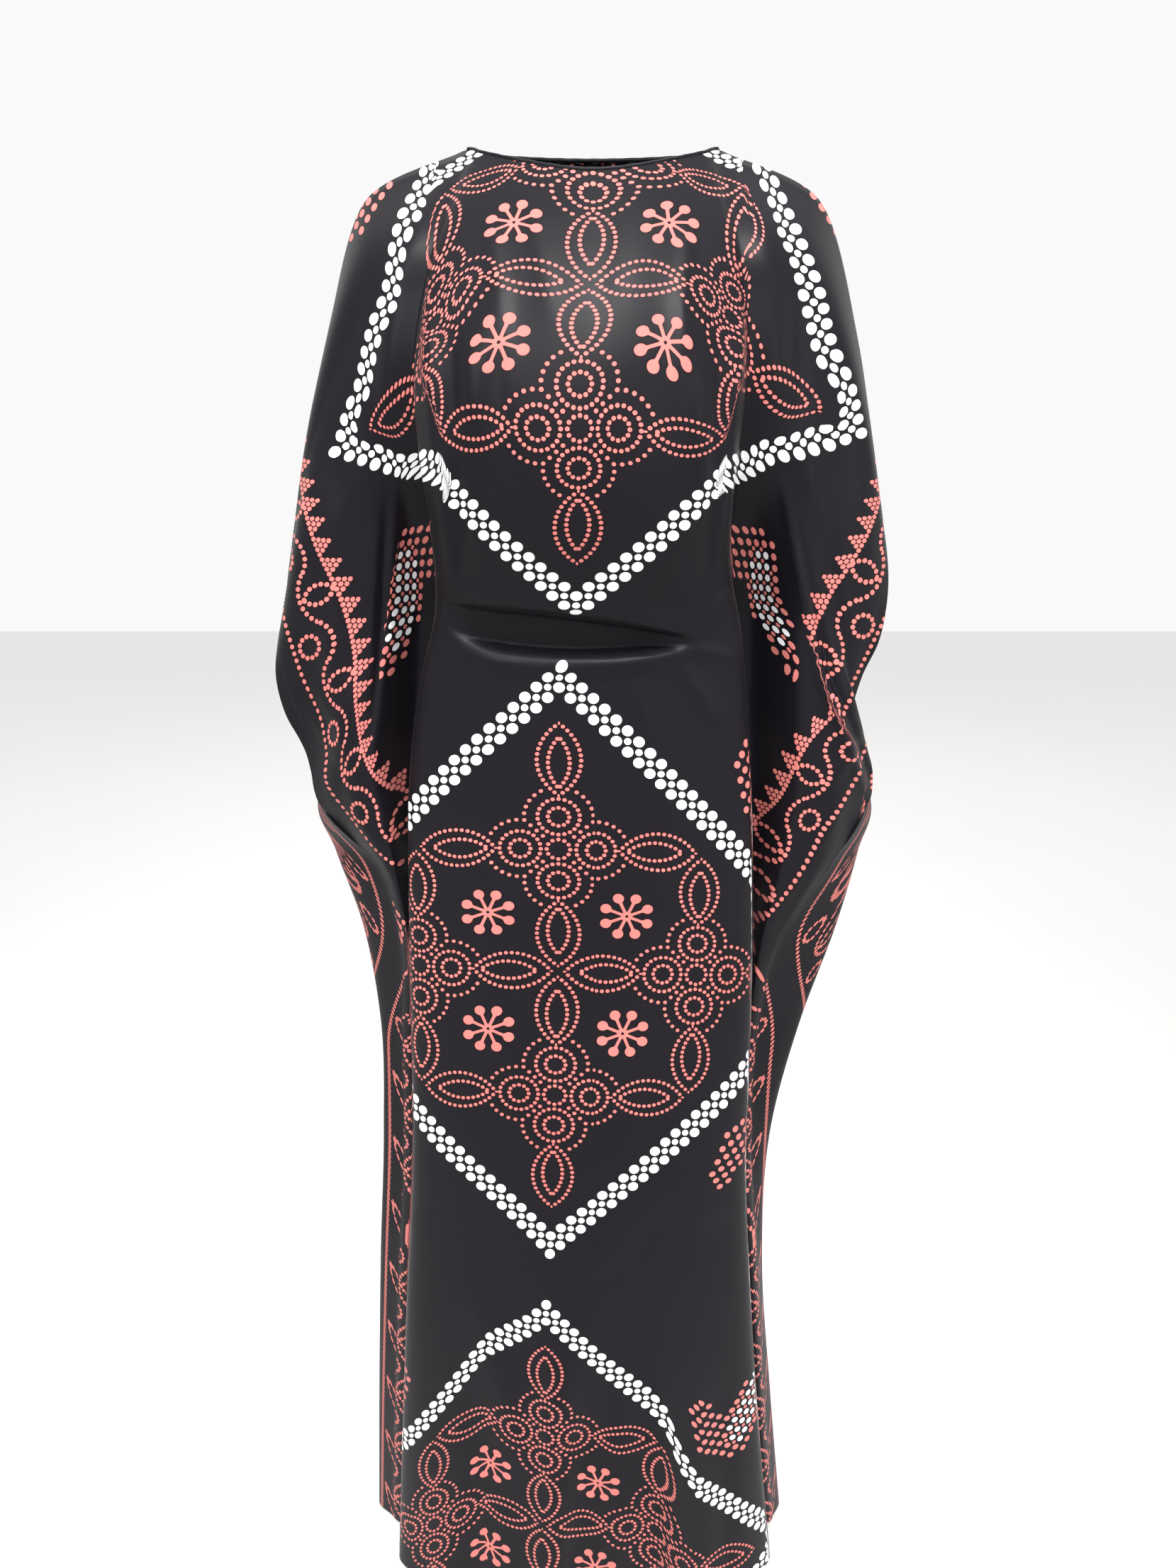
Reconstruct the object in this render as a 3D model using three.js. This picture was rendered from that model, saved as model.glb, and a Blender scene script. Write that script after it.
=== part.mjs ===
// Baati: a loose dress of one wide length of cloth, folded over the shoulders, with a hole cut for
// the neck and its two long edges sewn together from the hem up to a hand slit. It is worn and
// hollow: a tube round the body, and at each side a sleeve wing of two layers that hangs from the
// arm. Millimetres, +Z up, the front faces -Y, +X is the right-hand side seen from the front.
// The origin lies on the shoulder line at the middle of the neck.

import * as THREE from 'three';

// ---------------------------------------------------------------- driving sizes
const WALL = 2; // thickness of the cloth's wall
const SEAM_GAP = 0.3; // between two pieces that are sewn together
const FOLD_WIDTH = 13; // across the bottom of the deep fold between body and sleeve wing
const BINDING_RADIUS = 1.9; // of the rolled edge round the neck
const BINDING_SIDES = 8;
const SLIT_ROW = 10; // the section at which the hand slits end and the side seams begin

// A table is written as rows of numbers under named columns.
const table = (columns, rows) =>
  rows.map((row) => Object.fromEntries(columns.map((name, k) => [name, row[k]])));

// The middle of the front and of the back at each section, neck to hem, and how much lower the
// sleeve's outer edge hangs in that section than its middle.
const MIDDLE = table(['frontZ', 'frontY', 'backZ', 'backY', 'fall'], [
  [-29, -57, -2, 64, 258],
  [-72, -94, -50, 88, 262],
  [-125, -130, -108, 102, 250],
  [-180, -153, -168, 109, 234],
  [-235, -161, -232, 107, 210],
  [-300, -148, -300, 99, 182],
  [-350, -123, -350, 91, 158],
  [-384, -104, -384, 87, 138],
  [-418, -98, -418, 88, 120],
  [-470, -98, -470, 96, 88],
  [-532, -99, -532, 106, 44],
  [-620, -99, -620, 112, 12],
  [-710, -98, -710, 111, 0],
  [-820, -98, -820, 108, 0],
  [-960, -100, -960, 106, 0],
  [-1130, -102, -1130, 106, 0],
  [-1320, -105, -1320, 108, 0],
  [-1500, -109, -1500, 112, 0],
]);

// How far out from the middle each side's lines lie in those sections: the edge of the flat front
// panel, the deep fold behind it, the crown of the sleeve wing, the seam (above SLIT_ROW the front
// edge of the slit) and the outline. The two sides hang differently.
const SIDE_COLUMNS = ['edge', 'fold', 'crown', 'seam', 'outline'];
const LEFT = table(SIDE_COLUMNS, [
  [92, 106, 190, 263, 263],
  [116, 124, 184, 274, 274],
  [130, 138, 184, 281, 281],
  [137, 147, 188, 290, 290],
  [138, 148, 192, 294, 294],
  [134, 144, 196, 288, 288],
  [134, 142, 198, 276, 276],
  [138, 144, 200, 271, 271],
  [148, 148, 200, 268, 270],
  [160, 152, 202, 266, 270],
  [169, 158, 204, 258, 270],
  [174, 160, 190, 208, 256],
  [177, 160, 181, 191, 234],
  [180, 162, 185, 196, 222],
  [186, 168, 191, 202, 227],
  [200, 180, 203, 216, 240],
  [214, 194, 217, 230, 252],
  [226, 204, 228, 242, 262],
]);
const RIGHT = table(SIDE_COLUMNS, [
  [92, 106, 190, 261, 261],
  [104, 116, 176, 268, 268],
  [112, 124, 172, 270, 270],
  [114, 128, 172, 264, 264],
  [112, 126, 176, 250, 250],
  [112, 124, 182, 243, 243],
  [118, 128, 186, 252, 252],
  [128, 132, 190, 262, 262],
  [134, 134, 192, 267, 269],
  [140, 136, 196, 268, 273],
  [146, 140, 196, 262, 274],
  [152, 143, 184, 230, 266],
  [156, 143, 168, 188, 250],
  [158, 143, 163, 172, 220],
  [160, 144, 164, 172, 195],
  [172, 156, 178, 186, 194],
  [190, 173, 195, 203, 212],
  [210, 190, 213, 222, 232],
]);

// Depth (y) of the same lines, and of the back's own crown, fold and panel edge.
const DEPTH = table(
  ['edge', 'fold', 'crown', 'seam', 'outline', 'backCrown', 'backFold', 'backEdge'], [
    [-14, 6, 10, 10, 10, 10, 14, 40],
    [-72, -62, -46, -6, 24, 52, 60, 66],
    [-100, -80, -60, -12, 34, 70, 70, 80],
    [-116, -86, -66, -16, 40, 74, 66, 84],
    [-114, -72, -66, -18, 42, 72, 54, 78],
    [-94, -42, -62, -18, 42, 66, 44, 66],
    [-74, -18, -60, -18, 42, 62, 36, 56],
    [-62, -6, -58, -18, 42, 60, 32, 52],
    [-56, -2, -58, -18, 40, 58, 32, 54],
    [-52, 0, -58, -18, 34, 56, 34, 62],
    [-50, 2, -56, -20, 18, 54, 36, 70],
    [-48, 4, -48, -27, 14, 50, 38, 74],
    [-46, 6, -32, -22, 14, 46, 38, 72],
    [-44, 8, -14, -6, 16, 44, 38, 68],
    [-42, 10, -6, 3, 22, 44, 38, 66],
    [-42, 10, -4, 5, 26, 46, 38, 66],
    [-42, 10, -2, 8, 28, 48, 38, 68],
    [-42, 10, 0, 10, 30, 50, 38, 70],
  ]);

// The fold over shoulder and arm: what the top section is like outside the neck hole.
const SHOULDER = { depth: 10, neckZ: -3, neckOutZ: -7, crownZ: -38, armOut: 42, armZ: -150 };
const NECK = { frontEdgeZ: -9, backEdgeZ: -3, backEdgeDepth: 34 };

// How many strips lie between neighbouring lines across, and sections down.
const STRIPS_ACROSS = [6, 3, 1, 3, 2, 3];
const STRIPS_DOWN = [2, 2, 2, 2, 2, 2, 3, 4, 2, 2, 2, 2, 2, 2, 2, 2, 2];
// Nominal place of each line along the cloth's half width, which sets how the lines are blended.
const LINE_PLACES = [0, 168, 226, 240, 292, 352, 410];

// The waist tuck: cloth taken in across the front between two lines, boat-shaped.
const TUCK = { left: -134, right: 96, topZ: -366, drop: 32, height: 44, depth: 15, lip: 5 };

// Soft folds, each a ridge (depth over 0) or trough between two points of the front or back seen
// straight on, with its half width.
const FOLDS = table(['face', 'x0', 'z0', 'x1', 'z1', 'width', 'depth'], [
  [-1, -30, -1080, -56, -1540, 17, 7],
  [-1, 6, -1120, -8, -1540, 20, -6],
  [-1, -66, -95, -124, -300, 13, 4],
  [-1, 62, -90, 98, -300, 13, 4],
  [-1, -228, -150, -176, -560, 20, -7],
  [-1, -246, -330, -214, -600, 15, 6],
  [-1, 222, -150, 184, -640, 20, -7],
  [-1, 246, -330, 222, -640, 15, 6],
  [1, -96, -560, -128, -1540, 26, 8],
  [1, -34, -600, -48, -1540, 24, -8],
  [1, 34, -520, 46, -1540, 26, 8],
  [1, 104, -600, 126, -1540, 24, -7],
  [1, -60, -90, -112, -330, 16, 5],
  [1, 60, -90, 104, -330, 16, 5],
  [1, -214, -170, -196, -640, 20, 7],
  [1, 210, -170, 196, -640, 20, 7],
]);

// ---------------------------------------------------------------- curves through the tables
const clamp01 = (v) => Math.min(1, Math.max(0, v));
const smooth = (v) => clamp01(v) ** 2 * (3 - 2 * clamp01(v));

// Slopes of a curve through values at places. A limited one never swings past its own values.
function slopes(places, values, limited) {
  const last = values.length - 1;
  const step = (k) => places[k + 1] - places[k];
  const rise = (k) => (values[k + 1] - values[k]) / step(k);
  return values.map((_, k) => {
    if (k === 0) return rise(0);
    if (k === last) return rise(last - 1);
    const [before, after, a, b] = [rise(k - 1), rise(k), step(k - 1), step(k)];
    if (!limited) return (before * b + after * a) / (a + b);
    if (before * after <= 0) return 0;
    const [wa, wb] = [2 * b + a, b + 2 * a];
    return (wa + wb) / (wa / before + wb / after);
  });
}

// Value of that curve at `place`.
function curveAt(places, values, grades, place) {
  let k = 0;
  while (k < places.length - 2 && place >= places[k + 1]) k += 1;
  const h = places[k + 1] - places[k];
  const u = (place - places[k]) / h;
  return (2 * u ** 3 - 3 * u ** 2 + 1) * values[k] + (u ** 3 - 2 * u ** 2 + u) * h * grades[k]
    + (3 * u ** 2 - 2 * u ** 3) * values[k + 1] + (u ** 3 - u ** 2) * h * grades[k + 1];
}

// Places from a table's own places, each step cut into the given number of strips.
function stripPlaces(places, strips) {
  const found = strips.flatMap((count, k) =>
    Array.from({ length: count }, (_, n) => places[k] + ((places[k + 1] - places[k]) * n) / count));
  return [...found, places.at(-1)];
}

// ---------------------------------------------------------------- the lines of one section
// Each gives the seven points, centre to seam, of one side of a section.
function topRow(side, row) {
  const { depth, neckZ, neckOutZ, crownZ, armOut, armZ } = SHOULDER;
  return [
    [side.fold, DEPTH[row].fold, neckZ],
    [side.fold + FOLD_WIDTH, depth, neckOutZ],
    [side.crown, depth, crownZ],
    [side.crown + armOut, depth, armZ],
    [side.seam, depth, MIDDLE[row].frontZ - MIDDLE[row].fall],
  ];
}

function frontRow(side, row) {
  const [{ frontZ: z, frontY, fall }, depth] = [MIDDLE[row], DEPTH[row]];
  if (row === 0) {
    return [[0, frontY, z], [side.edge, depth.edge, NECK.frontEdgeZ], ...topRow(side, row)];
  }
  const mix = (a, b, share) => a + share * (b - a);
  return [
    [0, frontY, z],
    [side.edge, depth.edge, z],
    [side.fold, depth.fold, z],
    [side.fold + FOLD_WIDTH, depth.fold, z],
    [side.crown, depth.crown, z - 0.05 * fall],
    [mix(side.crown, side.seam, 0.62), mix(depth.crown, depth.seam, 0.42), z - 0.5 * fall],
    [side.seam, depth.seam, z - fall],
  ];
}

function backRow(side, row) {
  const [{ backZ: z, backY, frontZ, fall }, depth] = [MIDDLE[row], DEPTH[row]];
  if (row === 0) {
    return [[0, backY, z], [side.edge, NECK.backEdgeDepth, NECK.backEdgeZ], ...topRow(side, row)];
  }
  const crown = side.crown + 0.15 * (side.outline - side.crown);
  const slit = row < SLIT_ROW; // above the seam the back layer ends at the outline
  const outer = slit
    ? [crown + 0.6 * (side.outline - crown), 0.5 * (depth.backCrown + depth.outline), z - 0.5 * fall]
    : [side.outline, depth.outline, z - 0.9 * fall];
  const end = slit ? [side.outline, depth.outline] : [side.seam, depth.seam];
  return [
    [0, backY, z],
    [0.93 * side.edge, depth.backEdge, z],
    [0.97 * side.fold, depth.backFold, z],
    [0.97 * side.fold + FOLD_WIDTH, depth.backFold, z],
    [crown, depth.backCrown, z - 0.05 * fall],
    outer,
    [...end, frontZ - fall],
  ];
}

// ---------------------------------------------------------------- tuck and soft folds
// The tuck's depth at a point of the front: a groove between its two lines, with a lip below it.
function tuckDepth(x, z) {
  const across = (x - TUCK.left) / (TUCK.right - TUCK.left);
  if (across <= 0 || across >= 1) return 0;
  const top = TUCK.topZ - TUCK.drop * across ** 2.2;
  const height = TUCK.height * Math.sin(Math.PI * across ** 0.6) ** 0.6;
  const down = (top - z) / Math.max(height, 1);
  const groove = down > 0 && down < 1 ? Math.sin(Math.PI * down ** 0.7) : 0;
  const lip = Math.exp(-((((down - 1.25) * height) / 11) ** 2));
  return smooth(4 * across) * smooth(4 - 4 * across) * (TUCK.depth * groove - TUCK.lip * lip);
}

// Height of all soft folds at a point of one face (-1 front, 1 back), fading in from each end.
function foldHeight(face, x, z) {
  return FOLDS.filter((fold) => fold.face === face).reduce((sum, fold) => {
    const [dx, dz] = [fold.x1 - fold.x0, fold.z1 - fold.z0];
    const length = Math.hypot(dx, dz);
    const along = ((x - fold.x0) * dx + (z - fold.z0) * dz) / length ** 2;
    const off = ((x - fold.x0) * dz - (z - fold.z0) * dx) / length;
    const fade = smooth(3 * along) * smooth(3 * (1.12 - along));
    return sum + fold.depth * fade * Math.exp(-((off / fold.width) ** 2));
  }, 0);
}

// ---------------------------------------------------------------- a sheet's middle surface
// A grid of points, rows from the neck to the hem, columns from the left seam to the right one.
function sheetGrid(makeRow, face) {
  const half = (side, sign) => {
    const rows = MIDDLE.map((_, row) => makeRow(side[row], row).map(([x, y, z]) => [sign * x, y, z]));
    const down = [0];
    rows.slice(1).forEach(([point], k) => {
      down.push(down[k] + Math.hypot(...point.map((value, axis) => value - rows[k][0][axis])));
    });
    const lines = LINE_PLACES.map((_, line) => [0, 1, 2].map((axis) => {
      const values = rows.map((row) => row[line][axis]);
      return { values, grades: slopes(down, values, false) };
    }));
    return stripPlaces(down, STRIPS_DOWN).map((place) => {
      const section = lines.map((line) =>
        line.map(({ values, grades }) => curveAt(down, values, grades, place)));
      const across = [0, 1, 2].map((axis) => {
        const values = section.map((point) => point[axis]);
        const grades = slopes(LINE_PLACES, values, true);
        if (axis > 0) grades[0] = 0;
        return { values, grades };
      });
      return stripPlaces(LINE_PLACES, STRIPS_ACROSS).map((at) => new THREE.Vector3(
        ...across.map(({ values, grades }) => curveAt(LINE_PLACES, values, grades, at))));
    });
  };
  const [left, right] = [half(LEFT, -1), half(RIGHT, 1)];
  return left.map((row, k) => {
    const whole = [...row.toReversed(), ...right[k].slice(1)];
    if (k === 0) return whole;
    return whole.map((point) => {
      const tuck = face < 0 ? tuckDepth(point.x, point.z) : 0;
      return point.setY(point.y + face * foldHeight(face, point.x, point.z) + tuck);
    });
  });
}

// Where front and back are sewn or folded together they share their edge points: over shoulder and
// arm in the top row, and along both side seams.
const NECK_COLUMN = STRIPS_ACROSS[0] + STRIPS_ACROSS[1];
const SLIT_GRID_ROW = STRIPS_DOWN.slice(0, SLIT_ROW).reduce((a, b) => a + b);
function isShared(row, column, grid) {
  const middle = (grid[0].length - 1) / 2;
  const seam = column === 0 || column === grid[0].length - 1;
  return (row === 0 && Math.abs(column - middle) >= NECK_COLUMN) || (seam && row >= SLIT_GRID_ROW);
}

// Outward normal at each grid point; `face` turns it to the outside.
function gridNormals(grid, face) {
  const rows = grid.length - 1;
  const columns = grid[0].length - 1;
  return grid.map((row, i) => row.map((_, j) => {
    const across = grid[i][Math.min(j + 1, columns)].clone().sub(grid[i][Math.max(j - 1, 0)]);
    const down = grid[Math.min(i + 1, rows)][j].clone().sub(grid[Math.max(i - 1, 0)][j]);
    return across.cross(down).normalize().multiplyScalar(face);
  }));
}

function shareEdges(front, back, frontNormals, backNormals) {
  front.forEach((row, i) => row.forEach((point, j) => {
    if (!isShared(i, j, front)) return;
    back[i][j].copy(point);
    const normal = frontNormals[i][j].clone().add(backNormals[i][j]).normalize();
    frontNormals[i][j].copy(normal);
    backNormals[i][j].copy(normal);
  }));
}

// Draws a sheet's shared edge back by half the seam gap, into the sheet and square to its normal.
function openSeams(grid, normals) {
  const columns = grid[0].length - 1;
  const moves = [];
  grid.forEach((row, i) => row.forEach((point, j) => {
    if (!isShared(i, j, grid)) return;
    const inner = grid[i === 0 ? 1 : i][j === 0 ? 1 : j === columns ? columns - 1 : j];
    const into = inner.clone().sub(point);
    into.addScaledVector(normals[i][j], -into.dot(normals[i][j])).normalize();
    moves.push([point, into.multiplyScalar(SEAM_GAP / 2)]);
  }));
  moves.forEach(([point, move]) => point.add(move));
}

// ---------------------------------------------------------------- solids
// A closed mesh from corner points and faces of three or four corners.
function closedGeometry(points, faces) {
  const triangles = faces.flatMap(([a, b, c, d]) =>
    d === undefined ? [a, b, c] : [a, b, c, a, c, d]);
  const geometry = new THREE.BufferGeometry();
  geometry.setAttribute('position',
    new THREE.Float32BufferAttribute(points.flatMap((point) => point.toArray()), 3));
  geometry.setIndex(triangles);
  return geometry;
}

// The sheet's wall: its grid moved out and in by half the wall, closed round all four edges.
function wallGeometry(grid, normals, face) {
  const [rows, columns] = [grid.length, grid[0].length];
  const layer = (distance) => grid.flatMap((row, i) =>
    row.map((point, j) => point.clone().addScaledVector(normals[i][j], distance)));
  const points = [...layer(WALL / 2), ...layer(-WALL / 2)];
  const outer = (i, j) => i * columns + j;
  const inner = (i, j) => rows * columns + i * columns + j;
  const faces = [];
  const quad = (a, b, c, d) => faces.push(face > 0 ? [a, b, c, d] : [d, c, b, a]);
  for (let i = 0; i < rows - 1; i += 1) {
    for (let j = 0; j < columns - 1; j += 1) {
      quad(outer(i, j), outer(i, j + 1), outer(i + 1, j + 1), outer(i + 1, j));
      quad(inner(i, j), inner(i + 1, j), inner(i + 1, j + 1), inner(i, j + 1));
    }
  }
  for (let j = 0; j < columns - 1; j += 1) {
    quad(outer(0, j), inner(0, j), inner(0, j + 1), outer(0, j + 1));
    quad(outer(rows - 1, j), outer(rows - 1, j + 1), inner(rows - 1, j + 1), inner(rows - 1, j));
  }
  for (let i = 0; i < rows - 1; i += 1) {
    quad(outer(i, 0), outer(i + 1, 0), inner(i + 1, 0), inner(i, 0));
    quad(outer(i, columns - 1), inner(i, columns - 1), inner(i + 1, columns - 1),
      outer(i + 1, columns - 1));
  }
  return closedGeometry(points, faces);
}

// The neck's rolled edge: a ring of round section, standing on the cloth's edge all round the hole.
function bindingGeometry(front, back) {
  const middle = (front[0].length - 1) / 2;
  const ring = [];
  for (let j = -NECK_COLUMN; j <= NECK_COLUMN; j += 1) ring.push([front, middle + j]);
  for (let j = NECK_COLUMN - 1; j > -NECK_COLUMN; j -= 1) ring.push([back, middle + j]);
  const lift = BINDING_RADIUS + SEAM_GAP;
  const edges = ring.map(([grid, j]) => grid[0][j]);
  const towards = (from, to) => to.clone().sub(from).normalize();
  const rises = ring.map(([grid, j]) => {
    const [edge, side] = [grid[0][j], Math.sign(j - middle)];
    const down = towards(edge, grid[1][j]);
    if (Math.abs(j - middle) === NECK_COLUMN) {
      // At the neck's corner the cloth runs out along the shoulder too.
      down.add(towards(edge, back[1][j])).addScaledVector(towards(edge, grid[0][j + side]), 2);
    }
    return down.normalize().negate();
  });
  const points = edges.flatMap((edge, k) => {
    const [before, after] = [edges.at(k - 1), edges[(k + 1) % edges.length]];
    const along = after.clone().sub(before).normalize();
    const rise = rises[k].clone().addScaledVector(along, -rises[k].dot(along)).normalize();
    const across = along.clone().cross(rise);
    const centre = edge.clone().addScaledVector(rise, lift);
    return Array.from({ length: BINDING_SIDES }, (_, n) => {
      const turn = (2 * Math.PI * n) / BINDING_SIDES;
      return centre.clone()
        .addScaledVector(rise, BINDING_RADIUS * Math.cos(turn))
        .addScaledVector(across, BINDING_RADIUS * Math.sin(turn));
    });
  });
  const at = (k, n) => (k % edges.length) * BINDING_SIDES + (n % BINDING_SIDES);
  const faces = edges.flatMap((_, k) => Array.from({ length: BINDING_SIDES }, (__, n) =>
    [at(k, n), at(k, n + 1), at(k + 1, n + 1), at(k + 1, n)]));
  return closedGeometry(points, faces);
}

// ---------------------------------------------------------------- the dress
const satin = new THREE.MeshStandardMaterial({ color: 0x14131a, roughness: 0.45, metalness: 0 });
const printedSatin = new THREE.MeshStandardMaterial({ color: 0x1a1620, roughness: 0.45, metalness: 0 });

function piece(name, geometry, material) {
  geometry.computeVertexNormals();
  const mesh = new THREE.Mesh(geometry, material);
  mesh.name = name;
  return mesh;
}

const frontGrid = sheetGrid(frontRow, -1);
const backGrid = sheetGrid(backRow, 1);
const frontNormals = gridNormals(frontGrid, 1);
const backNormals = gridNormals(backGrid, -1);
shareEdges(frontGrid, backGrid, frontNormals, backNormals);
const binding = bindingGeometry(frontGrid, backGrid);
openSeams(frontGrid, frontNormals);
openSeams(backGrid, backNormals);

const dress = new THREE.Group();
dress.add(
  piece('front', wallGeometry(frontGrid, frontNormals, 1), printedSatin),
  piece('back', wallGeometry(backGrid, backNormals, -1), printedSatin),
  piece('neck_binding', binding, satin),
);

export default dress;
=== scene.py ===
# %% [markdown]
# # A baati in dotted satin
# A baati is one wide length of cloth, folded over the shoulders, with a hole for the neck and its
# two long edges sewn together from the hem up to a slit for the hand. The solid model gives its
# worn form as thick walls. Here each wall is replaced by a thin sheet on the same form, fine enough
# for soft creases, and the cloth gets its printed ornament, its satin shine and its sewn edges.

import math

import bpy
import numpy as np
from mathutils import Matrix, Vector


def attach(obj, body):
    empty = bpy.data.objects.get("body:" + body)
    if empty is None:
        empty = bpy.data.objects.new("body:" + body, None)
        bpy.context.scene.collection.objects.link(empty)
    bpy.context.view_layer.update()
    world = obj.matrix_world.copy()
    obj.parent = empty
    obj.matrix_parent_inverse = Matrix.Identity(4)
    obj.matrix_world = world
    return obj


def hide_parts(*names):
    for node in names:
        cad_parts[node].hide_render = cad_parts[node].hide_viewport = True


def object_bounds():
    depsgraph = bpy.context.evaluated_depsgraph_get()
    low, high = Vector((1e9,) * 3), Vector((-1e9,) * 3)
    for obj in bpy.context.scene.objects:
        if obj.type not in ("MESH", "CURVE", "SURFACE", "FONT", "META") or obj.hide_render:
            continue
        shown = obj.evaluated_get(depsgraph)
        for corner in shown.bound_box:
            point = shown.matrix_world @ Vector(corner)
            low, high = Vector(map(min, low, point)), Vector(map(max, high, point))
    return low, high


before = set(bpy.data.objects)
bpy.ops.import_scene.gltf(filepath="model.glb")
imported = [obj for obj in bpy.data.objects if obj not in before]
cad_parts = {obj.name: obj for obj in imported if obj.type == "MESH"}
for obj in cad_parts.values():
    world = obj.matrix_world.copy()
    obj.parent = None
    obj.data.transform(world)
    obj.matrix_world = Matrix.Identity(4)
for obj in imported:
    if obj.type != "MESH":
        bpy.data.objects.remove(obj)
cad_box = [[float(value) for value in corner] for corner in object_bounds()]
print("solid model:", [round(b - a, 3) for a, b in zip(*cad_box)], "m")

# %% [markdown]
# ## The camera
# The dress is seen from a little above the waist and from about 1.1 m away, looking down to the
# hem. Lens and tilt are what a person standing close would have.

# %% Place the camera
CAMERA = {"place": (-0.004, -1.100, -0.206), "tilt_down": 17.7, "lens": 27.2}
SENSOR = 36  # the sensor's longer side in mm


def add_camera(place, tilt_down, lens):
    """A camera that looks along +Y, tilted down by tilt_down degrees."""
    data = bpy.data.cameras.new("camera")
    data.lens = lens
    data.sensor_width = SENSOR
    data.clip_start = 0.01
    camera = bpy.data.objects.new("camera", data)
    camera.location = place
    camera.rotation_euler = (math.radians(90 - tilt_down), 0, 0)
    bpy.context.scene.collection.objects.link(camera)
    return camera


bpy.context.scene.camera = add_camera(**CAMERA)
bpy.context.scene.view_settings.view_transform = "Standard"
print("camera at", CAMERA["place"])

# %% [markdown]
# ## The form of the cloth
# A garment on a wearer is easiest to hold as sections, as a tailor's fitting notes do: at each
# height a few lines are noted, such as the edge of the flat front, the deep fold beside it and the
# crown of the sleeve wing. Curves through those few numbers give the whole sheet. The same tables
# shape the solid walls, so sheet and wall lie on one form. Lengths are in millimetres.

# %% Tables of the sections
MM = 0.001
FOLD_WIDTH = 13.0  # across the bottom of the deep fold between body and sleeve wing
SLIT_ROW = 10  # the section at which the hand slits end and the side seams begin


def table(columns, rows):
    """Rows of numbers under named columns, as one array for each column."""
    return dict(zip(columns, np.array(rows, float).T))


MIDDLE = table(["front_z", "front_y", "back_z", "back_y", "fall"], [
    [-29, -57, -2, 64, 258], [-72, -94, -50, 88, 262], [-125, -130, -108, 102, 250],
    [-180, -153, -168, 109, 234], [-235, -161, -232, 107, 210], [-300, -148, -300, 99, 182],
    [-350, -123, -350, 91, 158], [-384, -104, -384, 87, 138], [-418, -98, -418, 88, 120],
    [-470, -98, -470, 96, 88], [-532, -99, -532, 106, 44], [-620, -99, -620, 112, 12],
    [-710, -98, -710, 111, 0], [-820, -98, -820, 108, 0], [-960, -100, -960, 106, 0],
    [-1130, -102, -1130, 106, 0], [-1320, -105, -1320, 108, 0], [-1500, -109, -1500, 112, 0],
])
SIDE_COLUMNS = ["edge", "fold", "crown", "seam", "outline"]
LEFT = table(SIDE_COLUMNS, [
    [92, 106, 190, 263, 263], [116, 124, 184, 274, 274], [130, 138, 184, 281, 281],
    [137, 147, 188, 290, 290], [138, 148, 192, 294, 294], [134, 144, 196, 288, 288],
    [134, 142, 198, 276, 276], [138, 144, 200, 271, 271], [148, 148, 200, 268, 270],
    [160, 152, 202, 266, 270], [169, 158, 204, 258, 270], [174, 160, 190, 208, 256],
    [177, 160, 181, 191, 234], [180, 162, 185, 196, 222], [186, 168, 191, 202, 227],
    [200, 180, 203, 216, 240], [214, 194, 217, 230, 252], [226, 204, 228, 242, 262],
])
RIGHT = table(SIDE_COLUMNS, [
    [92, 106, 190, 261, 261], [104, 116, 176, 268, 268], [112, 124, 172, 270, 270],
    [114, 128, 172, 264, 264], [112, 126, 176, 250, 250], [112, 124, 182, 243, 243],
    [118, 128, 186, 252, 252], [128, 132, 190, 262, 262], [134, 134, 192, 267, 269],
    [140, 136, 196, 268, 273], [146, 140, 196, 262, 274], [152, 143, 184, 230, 266],
    [156, 143, 168, 188, 250], [158, 143, 163, 172, 220], [160, 144, 164, 172, 195],
    [172, 156, 178, 186, 194], [190, 173, 195, 203, 212], [210, 190, 213, 222, 232],
])
DEPTH = table(
    ["edge", "fold", "crown", "seam", "outline", "back_crown", "back_fold", "back_edge"], [
        [-14, 6, 10, 10, 10, 10, 14, 40], [-72, -62, -46, -6, 24, 52, 60, 66],
        [-100, -80, -60, -12, 34, 70, 70, 80], [-116, -86, -66, -16, 40, 74, 66, 84],
        [-114, -72, -66, -18, 42, 72, 54, 78], [-94, -42, -62, -18, 42, 66, 44, 66],
        [-74, -18, -60, -18, 42, 62, 36, 56], [-62, -6, -58, -18, 42, 60, 32, 52],
        [-56, -2, -58, -18, 40, 58, 32, 54], [-52, 0, -58, -18, 34, 56, 34, 62],
        [-50, 2, -56, -20, 18, 54, 36, 70], [-48, 4, -48, -27, 14, 50, 38, 74],
        [-46, 6, -32, -22, 14, 46, 38, 72], [-44, 8, -14, -6, 16, 44, 38, 68],
        [-42, 10, -6, 3, 22, 44, 38, 66], [-42, 10, -4, 5, 26, 46, 38, 66],
        [-42, 10, -2, 8, 28, 48, 38, 68], [-42, 10, 0, 10, 30, 50, 38, 70],
    ])
SHOULDER = {"depth": 10, "neck_z": -3, "out_z": -7, "crown_z": -38, "arm_out": 42, "arm_z": -150}
NECK = {"front_edge_z": -9, "back_edge_z": -3, "back_edge_y": 34}
LINE_PLACES = np.array([0, 168, 226, 240, 292, 352, 410], float)
STRIPS_ACROSS = [44, 12, 5, 16, 14, 14]  # fine strips between neighbouring lines, centre to seam
STRIPS_DOWN = [10, 10, 10, 9, 11, 12, 14, 14, 12, 11, 14, 13, 15, 18, 20, 20, 20]
print(len(MIDDLE["fall"]), "sections of", len(LINE_PLACES), "lines a side")


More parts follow.
